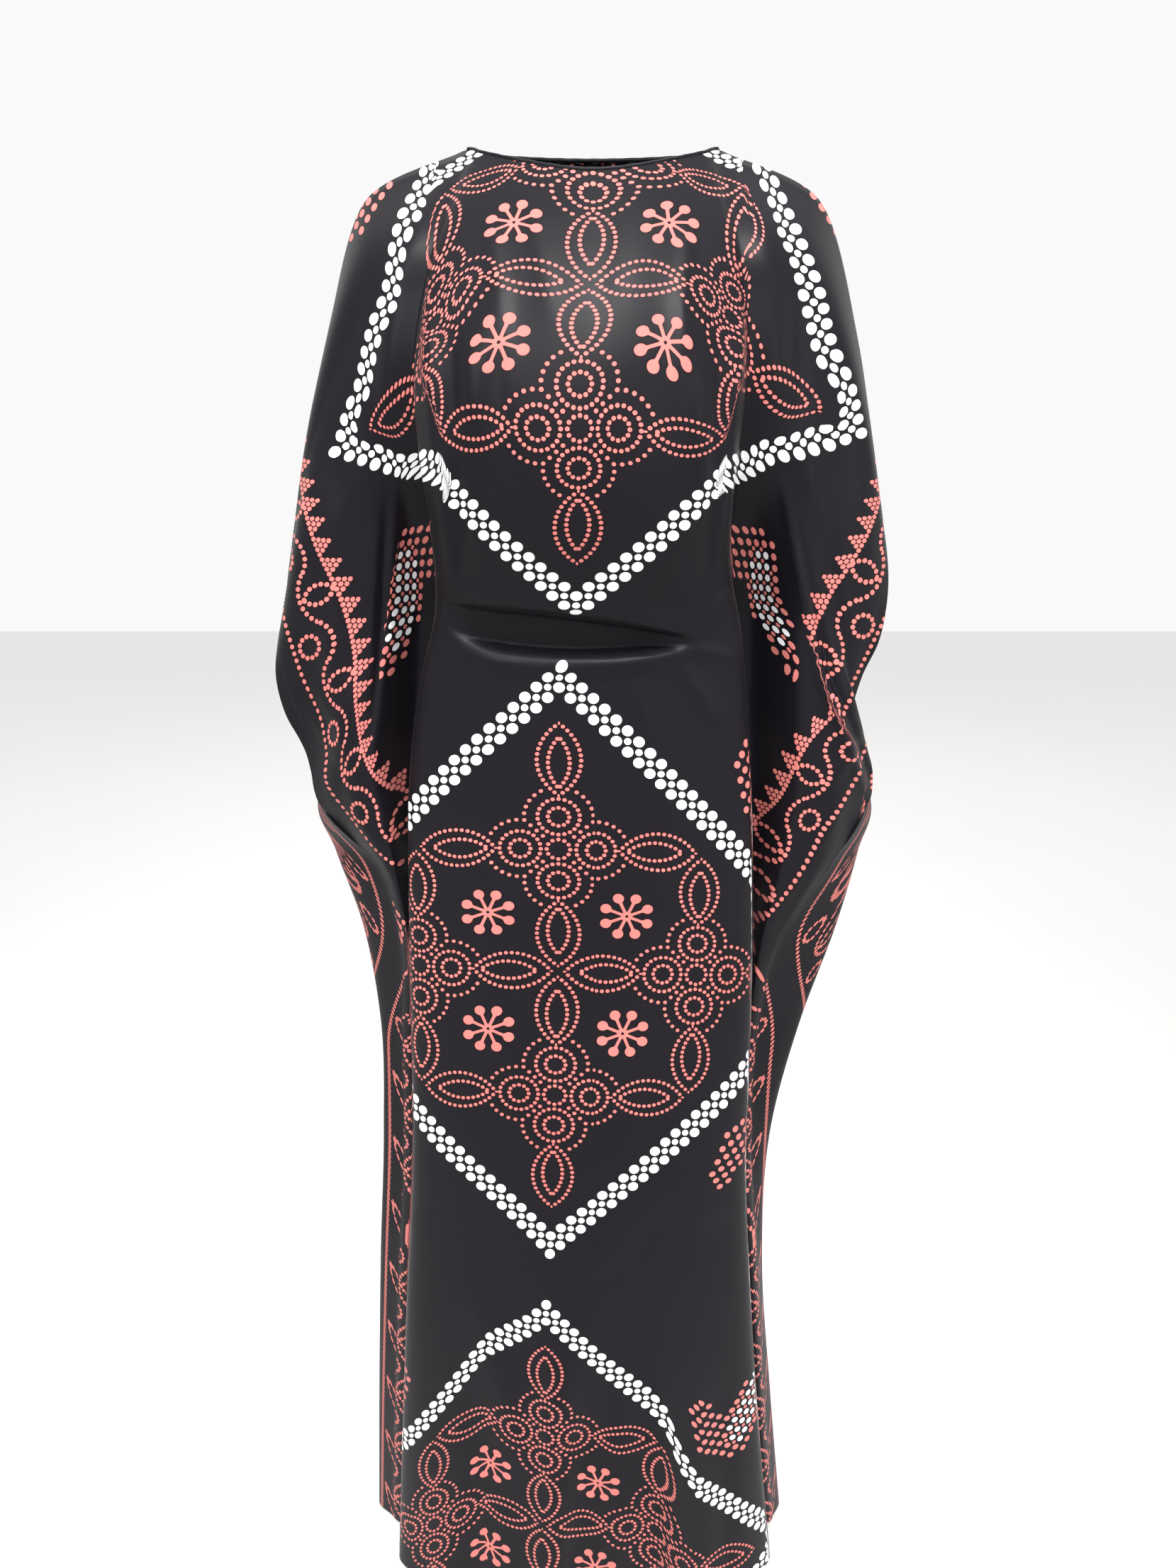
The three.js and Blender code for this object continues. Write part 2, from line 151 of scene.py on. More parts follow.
# %% The lines of one side
def line_points(side, sign, face):
    """The seven lines of one side, centre to seam, as an array (section, line, xyz)."""
    d, m, rows = DEPTH, MIDDLE, len(MIDDLE["fall"])
    zero, front = np.zeros(rows), face < 0
    slit = np.arange(rows) < SLIT_ROW
    z, y = (m["front_z"], m["front_y"]) if front else (m["back_z"], m["back_y"])
    if front:
        mix = side["crown"] + 0.62 * (side["seam"] - side["crown"])
        lines = [
            (zero, y, z), (side["edge"], d["edge"], z), (side["fold"], d["fold"], z),
            (side["fold"] + FOLD_WIDTH, d["fold"], z),
            (side["crown"], d["crown"], z - 0.05 * m["fall"]),
            (mix, d["crown"] + 0.42 * (d["seam"] - d["crown"]), z - 0.5 * m["fall"]),
            (side["seam"], d["seam"], z - m["fall"])]
    else:
        crown = side["crown"] + 0.15 * (side["outline"] - side["crown"])
        outer_x = np.where(slit, crown + 0.6 * (side["outline"] - crown), side["outline"])
        outer_y = np.where(slit, 0.5 * (d["back_crown"] + d["outline"]), d["outline"])
        outer_z = z - np.where(slit, 0.5, 0.9) * m["fall"]
        lines = [
            (zero, y, z), (0.93 * side["edge"], d["back_edge"], z),
            (0.97 * side["fold"], d["back_fold"], z),
            (0.97 * side["fold"] + FOLD_WIDTH, d["back_fold"], z),
            (crown, d["back_crown"], z - 0.05 * m["fall"]), (outer_x, outer_y, outer_z),
            (np.where(slit, side["outline"], side["seam"]),
             np.where(slit, d["outline"], d["seam"]), m["front_z"] - m["fall"])]
    points = np.stack([np.stack(line, -1) for line in lines], 1)
    s = SHOULDER
    corner = ((side["edge"][0], d["edge"][0], NECK["front_edge_z"]) if front
              else (side["edge"][0], NECK["back_edge_y"], NECK["back_edge_z"]))
    points[0, 1:] = [
        corner, (side["fold"][0], d["fold"][0], s["neck_z"]),
        (side["fold"][0] + FOLD_WIDTH, s["depth"], s["out_z"]),
        (side["crown"][0], s["depth"], s["crown_z"]),
        (side["crown"][0] + s["arm_out"], s["depth"], s["arm_z"]),
        (side["seam"][0], s["depth"], m["front_z"][0] - m["fall"][0])]
    points[..., 0] *= sign
    return points


# %% Smooth curves through the lines
def slopes(places, values, limited):
    """Slope at each place: the weighted mean of the two neighbouring rises, or, where limited,
    their harmonic mean, which never lets the curve swing past its own values."""
    h = np.diff(places).reshape(-1, *[1] * (values.ndim - 1))
    rise = np.diff(values, axis=0) / h
    before, after, a, b = rise[:-1], rise[1:], h[:-1], h[1:]
    if limited:
        same = before * after > 0
        safe_before, safe_after = np.where(same, before, 1), np.where(same, after, 1)
        wa, wb = 2 * b + a, b + 2 * a
        inner = np.where(same, (wa + wb) / (wa / safe_before + wb / safe_after), 0)
    else:
        inner = (before * b + after * a) / (a + b)
    return np.concatenate([rise[:1], inner, rise[-1:]])


def curve_at(places, values, grades, at):
    """Cubic Hermite curve through values at places, read at every place in `at`."""
    k = np.clip(np.searchsorted(places, at, side="right") - 1, 0, len(places) - 2)
    shape = (-1, *[1] * (values.ndim - 1))
    h = (places[k + 1] - places[k]).reshape(shape)
    u = ((at - places[k]) / (places[k + 1] - places[k])).reshape(shape)
    return ((2 * u**3 - 3 * u**2 + 1) * values[k] + (u**3 - 2 * u**2 + u) * h * grades[k]
            + (3 * u**2 - 2 * u**3) * values[k + 1] + (u**3 - u**2) * h * grades[k + 1])


def strip_places(places, strips):
    """Each step between places cut into the given number of strips."""
    cuts = [np.linspace(a, b, n, endpoint=False) for a, b, n in zip(places, places[1:], strips)]
    return np.concatenate([*cuts, places[-1:]])


def half_sheet(side, sign, face):
    """One half of a sheet as an array (row down, column out from the centre, xyz)."""
    lines = line_points(side, sign, face)
    steps = np.linalg.norm(np.diff(lines[:, 0], axis=0), axis=-1)
    down = np.concatenate([[0], np.cumsum(steps)])
    rows = curve_at(down, lines, slopes(down, lines, False), strip_places(down, STRIPS_DOWN))
    across = rows.transpose(1, 0, 2)
    grades = slopes(LINE_PLACES, across, True)
    grades[0, :, 1:] = 0
    out = curve_at(LINE_PLACES, across, grades, strip_places(LINE_PLACES, STRIPS_ACROSS))
    return out.transpose(1, 0, 2)


half = half_sheet(LEFT, -1, -1)
print("half a front:", half.shape[0], "rows of", half.shape[1], "points")

# %% [markdown]
# ## Folds and creases
# The cloth is drawn in across the front at the waist, where it bags over a tuck. Beside that the
# satin hangs in long shallow folds, pulls in drag lines from the neck and shoulders, and keeps a
# few soft creases. Each is a ridge or a trough between two points, with its own width and depth,
# placed one by one so that no two are alike. A cloth simulation could make folds too, but not these
# ones in these places.

# %% The tuck and the folds
TUCK = {"left": -134, "right": 96, "top_z": -366, "drop": 32, "height": 44, "depth": 14, "lip": 5,
        "bag": 5}
FOLD_COLUMNS = ["face", "x0", "z0", "x1", "z1", "width", "depth"]
FOLDS = table(FOLD_COLUMNS, [
    [-1, -30, -1080, -56, -1540, 17, 7], [-1, 6, -1120, -8, -1540, 20, -6],
    [-1, -66, -95, -124, -300, 13, 4], [-1, 62, -90, 98, -300, 13, 4],
    [-1, -228, -150, -176, -560, 20, -7], [-1, -246, -330, -214, -600, 15, 6],
    [-1, 222, -150, 184, -640, 20, -7], [-1, 246, -330, 222, -640, 15, 6],
    [1, -96, -560, -128, -1540, 26, 8], [1, -34, -600, -48, -1540, 24, -8],
    [1, 34, -520, 46, -1540, 26, 8], [1, 104, -600, 126, -1540, 24, -7],
    [1, -60, -90, -112, -330, 16, 5], [1, 60, -90, 104, -330, 16, 5],
    [1, -214, -170, -196, -640, 20, 7], [1, 210, -170, 196, -640, 20, 7],
])
CREASES = table(FOLD_COLUMNS, [
    # drag lines below the neck and over the chest
    [-1, -84, -48, -58, -210, 7, 1.6], [-1, -50, -40, -30, -150, 9, 1.2],
    [-1, 76, -46, 62, -220, 7, 1.6], [-1, 30, -38, 16, -130, 9, -1.0],
    [-1, -104, -130, -60, -330, 8, 1.8], [-1, -88, -240, -20, -352, 9, 2.0],
    [-1, 84, -150, 58, -330, 8, -1.6], [-1, 100, -250, 40, -362, 8, 1.8],
    # the wing's inner fold over the panel's side, and the hollow beside it
    [-1, -130, -110, -121, -345, 7, 5.0], [-1, -106, -140, -109, -350, 6, -5.0],
    [-1, 119, -110, 106, -335, 7, 5.0], [-1, 97, -140, 94, -350, 6, -4.0],
    # the fold down each wing that hides cloth between its paisley and its border
    [-1, -166, -250, -194, -500, 5, 4.5], [-1, -176, -270, -204, -500, 4, -4.0],
    [-1, 158, -250, 208, -450, 5, 4.5], [-1, 167, -280, 218, -450, 4, -4.0],
    [-1, 194, -410, 262, -560, 5, 4.5], [-1, 206, -420, 270, -556, 4, -3.5],
    # fan of short creases where the tuck ends
    [-1, 78, -398, 128, -350, 6, 2.2], [-1, 80, -404, 134, -420, 6, 2.0],
    [-1, 70, -412, 118, -480, 8, 2.4], [-1, 30, -416, 62, -520, 9, 1.8],
    [-1, -112, -402, -146, -470, 7, 2.2], [-1, -92, -408, -104, -520, 9, 1.6],
    [-1, -30, -416, -44, -560, 12, -1.4], [-1, -118, -360, -142, -300, 7, 2.0],
    # soft diagonals in the skirt
    [-1, -150, -560, -60, -660, 14, 1.8], [-1, 120, -590, 20, -640, 12, 1.6],
    [-1, 40, -650, 140, -700, 14, -1.6], [-1, -120, -700, -70, -830, 16, 1.5],
    [-1, 60, -930, 130, -1010, 14, 2.0], [-1, -10, -1060, 60, -960, 16, 1.4],
    [-1, -130, -1040, -80, -1300, 18, 2.2], [-1, 60, -1120, 96, -1500, 18, 3.2],
    [-1, 130, -1180, 160, -1520, 15, -3.0], [-1, -110, -1180, -136, -1520, 18, -3.0],
    [-1, -20, -1240, -40, -1500, 8, 2.4], [-1, 24, -1200, 34, -1460, 10, 1.8],
    # sleeve wings
    [-1, -176, -60, -196, -300, 9, 2.4], [-1, -214, -250, -236, -440, 8, 2.0],
    [-1, -206, -420, -250, -560, 9, 2.6], [-1, -262, -430, -206, -540, 7, 2.4],
    [-1, -270, -470, -230, -520, 5, 1.8], [-1, -226, -560, -190, -640, 8, 2.4],
    [-1, 172, -50, 190, -280, 9, 2.4], [-1, 206, -240, 232, -420, 8, 2.0],
    [-1, 204, -430, 256, -560, 9, 2.8], [-1, 262, -470, 206, -560, 7, 2.6],
    [-1, 240, -540, 190, -660, 8, 2.6], [-1, 226, -600, 180, -740, 7, 2.0],
    # the same kinds on the back
    [1, -80, -30, -54, -260, 9, 2.0], [1, 82, -30, 50, -280, 9, 2.0],
    [1, -20, -40, -8, -320, 12, 1.6], [1, -104, -250, -30, -420, 10, 2.4],
    [1, 98, -260, 34, -430, 10, 2.4], [1, -80, -420, -100, -640, 12, -2.2],
    [1, 72, -430, 96, -680, 12, -2.2], [1, 6, -440, -6, -760, 14, 2.4],
    [1, -66, -720, -84, -1100, 12, 2.6], [1, 70, -760, 88, -1160, 12, 2.6],
    [1, -6, -980, 10, -1520, 14, 3.0], [1, -150, -760, -168, -1500, 13, 3.0],
    [1, 146, -800, 160, -1500, 13, 3.0], [1, -190, -120, -214, -420, 10, 2.6],
    [1, 188, -120, 212, -430, 10, 2.6], [1, -236, -300, -250, -560, 8, 2.2],
    [1, 232, -310, 246, -580, 8, 2.2], [1, -170, -420, -200, -660, 10, -2.4],
    [1, 166, -430, 196, -690, 10, -2.4],
])


def smooth(v):
    """0 below 0, 1 above 1, and an even S between them."""
    v = np.clip(v, 0, 1)
    return v * v * (3 - 2 * v)


def tuck_depth(x, z):
    """Depth of the tuck, boat-shaped from end to end: the upper cloth bags over a sharp line, the
    band under it lies back evenly, and a lip runs along its lower side."""
    share = (x - TUCK["left"]) / (TUCK["right"] - TUCK["left"])
    inside = (share > 0) & (share < 1)
    along = np.where(inside, share, 0.5)
    top = TUCK["top_z"] - TUCK["drop"] * along**2.2
    height = TUCK["height"] * np.maximum(np.sin(np.pi * along**0.6), 0) ** 0.6
    down = (top - z) / np.maximum(height, 1)
    inner = np.clip(down, 0, 1)
    groove = smooth(inner / 0.13) * (1 - smooth((inner - 0.82) / 0.18))
    lip = np.exp(-(((down - 1.18) * height / 7) ** 2))
    bag = np.exp(-((down * height / 10 + 0.7) ** 2))
    ends = smooth(4 * along) * smooth(4 - 4 * along)
    return np.where(inside, ends * (
        TUCK["depth"] * groove - TUCK["lip"] * lip - TUCK["bag"] * bag), 0)


def fold_height(folds, face, x, z):
    """Sum of all folds of one face: each a bell across its line, fading in from both ends."""
    f = {name: values[folds["face"] == face] for name, values in folds.items()}
    dx, dz = f["x1"] - f["x0"], f["z1"] - f["z0"]
    length = np.hypot(dx, dz)
    along = ((x[..., None] - f["x0"]) * dx + (z[..., None] - f["z0"]) * dz) / length**2
    off = ((x[..., None] - f["x0"]) * dz - (z[..., None] - f["z0"]) * dx) / length
    fade = smooth(3 * along) * smooth(3 * (1.12 - along))
    return (f["depth"] * fade * np.exp(-((off / f["width"]) ** 2))).sum(-1)


def sheet_grid(face):
    """The whole sheet's middle surface, left seam to right seam, with tuck, folds and creases."""
    left, right = half_sheet(LEFT, -1, face), half_sheet(RIGHT, 1, face)
    grid = np.concatenate([left[:, ::-1], right[:, 1:]], 1)
    x, z = grid[..., 0], grid[..., 2]
    out = face * (fold_height(FOLDS, face, x, z) + fold_height(CREASES, face, x, z))
    if face < 0:
        out = out + tuck_depth(x, z)
    grid[1:, :, 1] += out[1:]
    return grid


front_grid, back_grid = sheet_grid(-1), sheet_grid(1)
print("front and back:", front_grid.shape[0], "rows by", front_grid.shape[1], "columns each")


# %% Normals, shared along the shoulders and the side seams
def grid_normals(grid, face):
    """Unit normals from the differences across and down, turned to the outside."""
    normal = np.cross(np.gradient(grid, axis=1), np.gradient(grid, axis=0)) * face
    return normal / np.maximum(np.linalg.norm(normal, axis=-1, keepdims=True), 1e-9)


MIDDLE_COLUMN = front_grid.shape[1] // 2
NECK_COLUMN = sum(STRIPS_ACROSS[:2])
SLIT_GRID_ROW = sum(STRIPS_DOWN[:SLIT_ROW])
row_number, column_number = np.indices(front_grid.shape[:2])
from_middle = np.abs(column_number - MIDDLE_COLUMN)
at_shoulder = (row_number == 0) & (from_middle >= NECK_COLUMN)
at_seam = (from_middle == MIDDLE_COLUMN) & (row_number >= SLIT_GRID_ROW)
shared = at_shoulder | at_seam
front_normals, back_normals = grid_normals(front_grid, -1), grid_normals(back_grid, 1)
back_grid[shared] = front_grid[shared]
both = front_normals[shared] + back_normals[shared]
both /= np.linalg.norm(both, axis=-1, keepdims=True)
front_normals[shared] = both
back_normals[shared] = both
print("points shared by front and back:", int(shared.sum()))

# %% [markdown]
# ## Where the print lies on the cloth
# The print belongs to the flat cloth, so every point of the sheet needs its place on the flat
# length: U, how far out from its middle line, and V, how far down from the fold over the shoulders.
# On the front panel that is measured along the surface. On the chest and the sleeve wings the cloth
# has turned and slid, so marks of the print are pinned to places on it, as a tailor pins cloth to a
# stand, and a bending-plate curve carries the rest smoothly between the pins.

# %% Sizes of the print
REPEAT = 665.0  # from one diamond's middle to the next, down the cloth
FIRST = 195.0  # the first diamond's middle, below the shoulder fold
HALF = 296.0  # from a diamond's middle to its corner
GAP = REPEAT - 2 * HALF
LOW_LAG = 236.0  # how much higher up the cloth the side strip comes from than the panel beside it
SEAM_U = 420.0  # the side seam; past it the other layer's border runs back as a mirror image
EDGE_U = 380.0  # where the low side strips turn to the back, with the seam behind them
PANEL_V = table(["z", "v"], [
    [-29, FIRST - 114], [-119, FIRST], [-157, FIRST + 60], [-223, FIRST + 129],
    [-366, FIRST + HALF + 3], [-372, FIRST + HALF + 16], [-429, FIRST + HALF + GAP],
    [-710, FIRST + REPEAT],
    [-1015, FIRST + REPEAT + HALF], [-1101, FIRST + 2 * REPEAT - HALF],
    [-1376, FIRST + 2 * REPEAT], [-1500, FIRST + 1455],
])
PANEL_MIDDLE = table(["z", "x"], [
    [0, 0], [-119, -3], [-157, -8], [-223, -10], [-369, -14], [-429, -29], [-710, -32],
    [-1015, -42], [-1085, -47], [-1376, -56], [-1500, -59],
])
SAG = table(["x", "v"], [
    [-150, -62], [-115, -34], [-62, 12], [-20, 0], [20, 0], [62, -7], [115, -8], [132, -20],
    [150, -62], [172, -88],
])
HIPS = {"from": 430, "over": 80, "to": 920, "fade": 100, "half": 115, "sag": 8.0,
        "left": 0.075, "right": 0.025}  # down the panel, and how much each side is drawn out
SAG_FROM, SAG_OVER = 1020, 80  # down the panel, where both sides begin to sag
CHEST_TO, CHEST_OVER = 300, 70  # down the panel, where the chest's pins let go
SIDE_STRIP = {"from": 680, "over": 170, "pins_to": 860}  # where the wings narrow to a strip
STIFFNESS = {"chest": 20.0, "wing": 60.0}
BACK_WING = {"turn": 62, "turn_over": 44, "reach": 260, "settle": 150, "settle_over": 350,
             "start": -20}
print("sizes of the print: repeat", REPEAT, "mm, first middle at", FIRST, "mm")

# %% [markdown]
# ## Pins, noted in the view
# Where a mark has come to lie on hanging cloth is quickest to note as a place in the view: so far
# across and so far down it. The camera is known, so each note is carried back along its line
# of sight to the foremost point of the cloth. Marks crowd together, so they are noted in magnified
# windows of the view. A few pins, where no clear mark shows, are placed on the cloth itself.

# %% From the view to the cloth
VIEW = {"width": 1500.0, "height": 2000.0}  # the view, in the units of the marks' places
SAME_SPOT = 2.7  # points that look this near to each other lie one behind the other
# left, top and scale of the magnified windows
CHEST_WINDOW = (351.7, 156.4, 0.5976)
LEFT_SHOULDER_WINDOW, RIGHT_SHOULDER_WINDOW = (434.0, 208.0, 0.2653), (895.1, 208.0, 0.2653)
LEFT_WING_WINDOW, RIGHT_WING_WINDOW = (357.1, 632.9, 0.3631), (958.4, 623.9, 0.5017)
LEFT_ARM_WINDOW, RIGHT_ARM_WINDOW = (355.0, 630.0, 0.382), (910.0, 630.0, 0.382)


def in_view(points):
    """Across and down of points in the view, and how far they are from the camera: each offset
    square to the camera's axis is divided by the depth along it."""
    tilt = math.radians(CAMERA["tilt_down"])
    away = points - np.array(CAMERA["place"]) / MM
    depth = away[..., 1] * math.cos(tilt) - away[..., 2] * math.sin(tilt)
    up = away[..., 1] * math.sin(tilt) + away[..., 2] * math.cos(tilt)
    scale = CAMERA["lens"] / SENSOR * VIEW["height"]
    return (VIEW["width"] / 2 + scale * away[..., 0] / depth,
            VIEW["height"] / 2 - scale * up / depth, np.linalg.norm(away, axis=-1))


front_face = front_grid + front_normals
seen_across, seen_down, seen_from = in_view(front_face)
toward = np.array(CAMERA["place"]) / MM - front_face
turned_away = (front_normals * toward).sum(-1) <= 0


def place_on_cloth(across, down):
    """x and z of the cloth seen at one place in the view: of the points that look nearest to it
    and face the camera, the foremost."""
    off = np.hypot(seen_across - across, seen_down - down)
    off[turned_away] = np.inf
    near = off < off.min() + SAME_SPOT
    return front_face[near][np.argmin(seen_from[near])][[0, 2]]


def in_window(window, across, down):
    """x and z of the cloth seen at a place in a magnified window."""
    left, top, scale = window
    return place_on_cloth(left + scale * across, top + scale * down)


def marks(window, rows):
    """Pins (x, z, u, v) from rows of across and down in a window, U and V."""
    return [[*in_window(window, across, down), u, v] for across, down, u, v in rows]


print("points that face the camera:", int((~turned_away).sum()))

# %% Pins of the chest and the wings
PIN_COLUMNS = ["x", "z", "u", "v"]
CHEST_PINS = table(PIN_COLUMNS, [
    # the panel's edges and ends, placed on the cloth itself
    [0, -29, 0, 79], [-8, -157, 0, 253], [-12, -290, 0, 402], [-92, -9, -97, 6],
    [92, -9, 97, 6], [-130, -290, -130, 398], [112, -290, 128, 398],
    *marks(CHEST_WINDOW, [
        [672, 338, 0, 195], [672, 192, 0, 120], [680, 152, 0, 99], [652, 655, 0, 324],
        [505, 214, -62, 135], [473, 460, -62, 253], [395, 348, -96, 195], [555, 655, -33, 324],
        [515, 92, -54, 66], [843, 213, 62, 135], [840, 460, 62, 253], [738, 655, 33, 324],
        [865, 110, 54, 66]]),
    *marks(LEFT_SHOULDER_WINDOW, [
        [478, 1325, -126, 324], [500, 125, -128, 66], [470, 515, -129, 141],
        [435, 760, -129, 195], [425, 880, -129, 228], [400, 1000, -131, 249],
        [460, 1130, -113, 286]]),
    *marks(RIGHT_SHOULDER_WINDOW, [
        [45, 620, 96, 195], [230, 120, 128, 66], [165, 545, 129, 141], [150, 740, 129, 195],
        [190, 900, 131, 228], [165, 1000, 129, 249], [145, 1325, 129, 322],
        [107, 1180, 113, 288]]),
])
LEFT_TOP = [
    *marks(LEFT_SHOULDER_WINDOW, [
        [400, 30, 138, 27], [298, 250, 168, 57], [227, 512, 197, 87], [155, 760, 227, 116],
        [85, 1003, 257, 146], [18, 1245, 286, 175], [60, 1340, 286, 195],
        [132, 1104, 256, 165], [255, 697, 207, 116], [369, 262, 158, 67],
        [155, 1465, 276, 225], [273, 1498, 257, 244], [325, 1503, 237, 264],
        [432, 1500, 217, 284], [522, 1535, 197, 304], [190, 1383, 266, 215],
        [400, 1410, 227, 254], [505, 1433, 197, 284], [122, 1298, 257, 195],
        [350, 1050, 183, 195], [205, 1140, 220, 177], [270, 1305, 220, 213],
        [455, 190, 129, 67], [405, 470, 147, 104]]),
    *marks(CHEST_WINDOW, [[120, 708, 306, 195]]),
]
LEFT_CUFF = marks(LEFT_WING_WINDOW, [
    [415, 955, 331, 538], [310, 1225, 400, 555], [400, 1295, 400, 585], [400, 1390, 420, 590]])
LEFT_OUTER = [
    *LEFT_CUFF,
    *marks(LEFT_WING_WINDOW, [
        [140, 75, 331, 257], [175, 157, 331, 278], [240, 300, 331, 320], [298, 445, 331, 361],
        [325, 587, 331, 403], [318, 725, 331, 444], [325, 862, 331, 486], [345, 918, 331, 507],
        [20, 490, 400, 342], [85, 655, 400, 388], [140, 800, 400, 428], [160, 920, 400, 460],
        [155, 1000, 400, 481], [215, 1100, 400, 511], [130, 1040, 420, 500],
        [260, 1200, 420, 545]]),
    *marks(LEFT_ARM_WINDOW, [
        [136, 176, 343, 278], [90, 194, 357, 278], [72, 280, 371, 299], [144, 329, 357, 320]]),
]
LEFT_INNER = [
    # along the paisley and at its two sides, placed on the cloth itself
    [152, -290, 200, 330], [171, -368, 237, 405], [189, -447, 277, 476], [187, -368, 262, 391],
    [156, -368, 212, 419], [195, -490, 310, 510], *LEFT_CUFF,
]
RIGHT_TOP = marks(RIGHT_SHOULDER_WINDOW, [
    [300, 108, 138, 47], [389, 332, 168, 77], [489, 647, 207, 116], [579, 950, 247, 156],
    [670, 1245, 286, 195], [657, 928, 257, 146], [568, 617, 217, 106], [466, 310, 178, 67],
    [596, 1268, 276, 205], [447, 1317, 257, 225], [310, 1358, 237, 244], [218, 1412, 217, 264],
    [104, 1425, 197, 284], [627, 1350, 286, 215], [479, 1395, 266, 234], [336, 1438, 247, 254],
    [237, 1503, 227, 274], [598, 1207, 257, 195], [262, 1015, 183, 195], [468, 1025, 220, 177],
    [400, 1222, 220, 213], [268, 185, 129, 67], [300, 360, 147, 104]])
RIGHT_OUTER = [
    *marks(RIGHT_WING_WINDOW, [
        [278, 70, 331, 278], [248, 125, 331, 299], [218, 178, 331, 320], [188, 228, 331, 340],
        [157, 275, 331, 361], [125, 325, 331, 382]]),
    *marks(RIGHT_ARM_WINDOW, [
        [449, 233, 343, 320], [500, 354, 371, 340], [369, 368, 343, 361], [414, 395, 357, 361]]),
]
RIGHT_INNER = [
    # along the paisley and at its two sides, placed on the cloth itself
    [135, -290, 200, 330], [156, -368, 237, 405], [180, -436, 272, 470], [172, -368, 262, 391],
    [143, -368, 212, 419],
    *marks(RIGHT_WING_WINDOW, [
        [180, 562, 331, 434], [110, 635, 331, 465], [80, 675, 331, 486], [38, 770, 331, 528],
        [275, 735, 400, 470], [183, 865, 400, 528], [80, 1045, 400, 605], [5, 1175, 400, 660],
        [290, 810, 420, 485], [243, 896, 420, 528], [130, 1090, 420, 605],
        [15, 1300, 420, 690]]),
]


def fold_line(window, places):
    """x and z down a wing's own fold, from places across and down a window."""
    found = [in_window(window, across, down) for across, down in places]
    return table(["x", "z"], np.abs(found) * [1, -1])


WING_FOLD = {
    -1: fold_line(LEFT_ARM_WINDOW, [
        (405, -60), (405, 60), (405, 150), (385, 230), (370, 330), (355, 420), (345, 500),
        (335, 560), (333, 640), (328, 720), (326, 800), (345, 870), (385, 900)]),
    1: fold_line(RIGHT_ARM_WINDOW, [
        (190, -60), (200, 60), (215, 130), (235, 230), (262, 330), (290, 420), (300, 480),
        (340, 540), (365, 620), (400, 700), (440, 780), (490, 850), (500, 900), (515, 930)]),
}
JUMP = table(["z", "left", "right"], [
    [0, 130, 126], [-120, 131, 122], [-180, 134, 118], [-232, 119, 105], [-268, 116, 101],
    [-300, 134, 116], [-384, 143, 131], [-470, 162, 140], [-532, 173, 147], [-620, 178, 152],
    [-710, 181, 155], [-820, 184, 158], [-960, 190, 160], [-1130, 204, 172], [-1320, 217, 190],
    [-1500, 230, 210],
])
print("pins:", len(CHEST_PINS["x"]), "on the chest,", len(LEFT_TOP + RIGHT_TOP), "up the wings")


# %% Carry the pins over each wing
def bending_plate(pins, x, z, stiffness=400.0):
    """Thin-plate spline: a straight map plus, for each pin, r squared times log r, with a little
    stiffness so that pins that disagree are averaged."""
    places = np.stack([pins["x"], pins["z"]], -1)
    values = np.stack([pins["u"], pins["v"]], -1)

    def kernel(a, b):
        r2 = ((a[..., None, :] - b) ** 2).sum(-1) + 1e-6
        return r2 * np.log(r2) / 2

    n = len(places)
    flat = np.column_stack([np.ones(n), places])
    system = np.zeros((n + 3, n + 3))
    system[:n, :n] = kernel(places, places) + stiffness * np.eye(n)
    system[:n, n:], system[n:, :n] = flat, flat.T
    weights = np.linalg.solve(system, np.vstack([values, np.zeros((3, 2))]))
    at = np.stack([x, z], -1)
    found = kernel(at, places) @ weights[:n] + weights[n] + at @ weights[n + 1:]
    return found[..., 0], found[..., 1]


def wing_pins(*parts):
    """The pins of one wing as a table, with x measured out from the middle."""
    pins = table(PIN_COLUMNS, sum(parts, []))
    return {**pins, "x": np.abs(pins["x"])}


def arc_out(grid):
    """Arc length from the first column outwards."""
    steps = np.linalg.norm(np.diff(grid, axis=1), axis=-1)
    return np.concatenate([np.zeros((len(grid), 1)), np.cumsum(steps, 1)], 1)


def low_share(z):
    """0 beside the wings and 1 below them, where only the narrow strip at the side is left."""
    return smooth((-z - SIDE_STRIP["from"]) / SIDE_STRIP["over"])


def panel_places(grid, sign):
    """U and V of the flat front: arc length across and the table down, drawn out a little over
    the hips, sagging at both sides near the hem, and above the bust from the chest's own pins."""
    x, z = grid[..., 0], grid[..., 2]
    middle = np.interp(-z, -PANEL_MIDDLE["z"], PANEL_MIDDLE["x"])
    u = sign * arc_out(grid) - middle
    v = np.interp(-z, -PANEL_V["z"], PANEL_V["v"])
    v = v + smooth((-z - SAG_FROM) / SAG_OVER) * np.interp(x - middle, SAG["x"], SAG["v"])
    hips = smooth((-z - HIPS["from"]) / HIPS["over"])
    hips = hips * (1 - smooth((-z - HIPS["to"]) / HIPS["fade"]))
    u = u * (1 - hips * HIPS["left" if sign < 0 else "right"])
    v = v - hips * HIPS["sag"] * ((x - middle) / HIPS["half"]) ** 2
    chest_u, chest_v = bending_plate(CHEST_PINS, x, z, STIFFNESS["chest"])
    share = smooth((z + CHEST_TO) / CHEST_OVER)
    return sign * (u + share * (chest_u - u)), v + share * (chest_v - v)


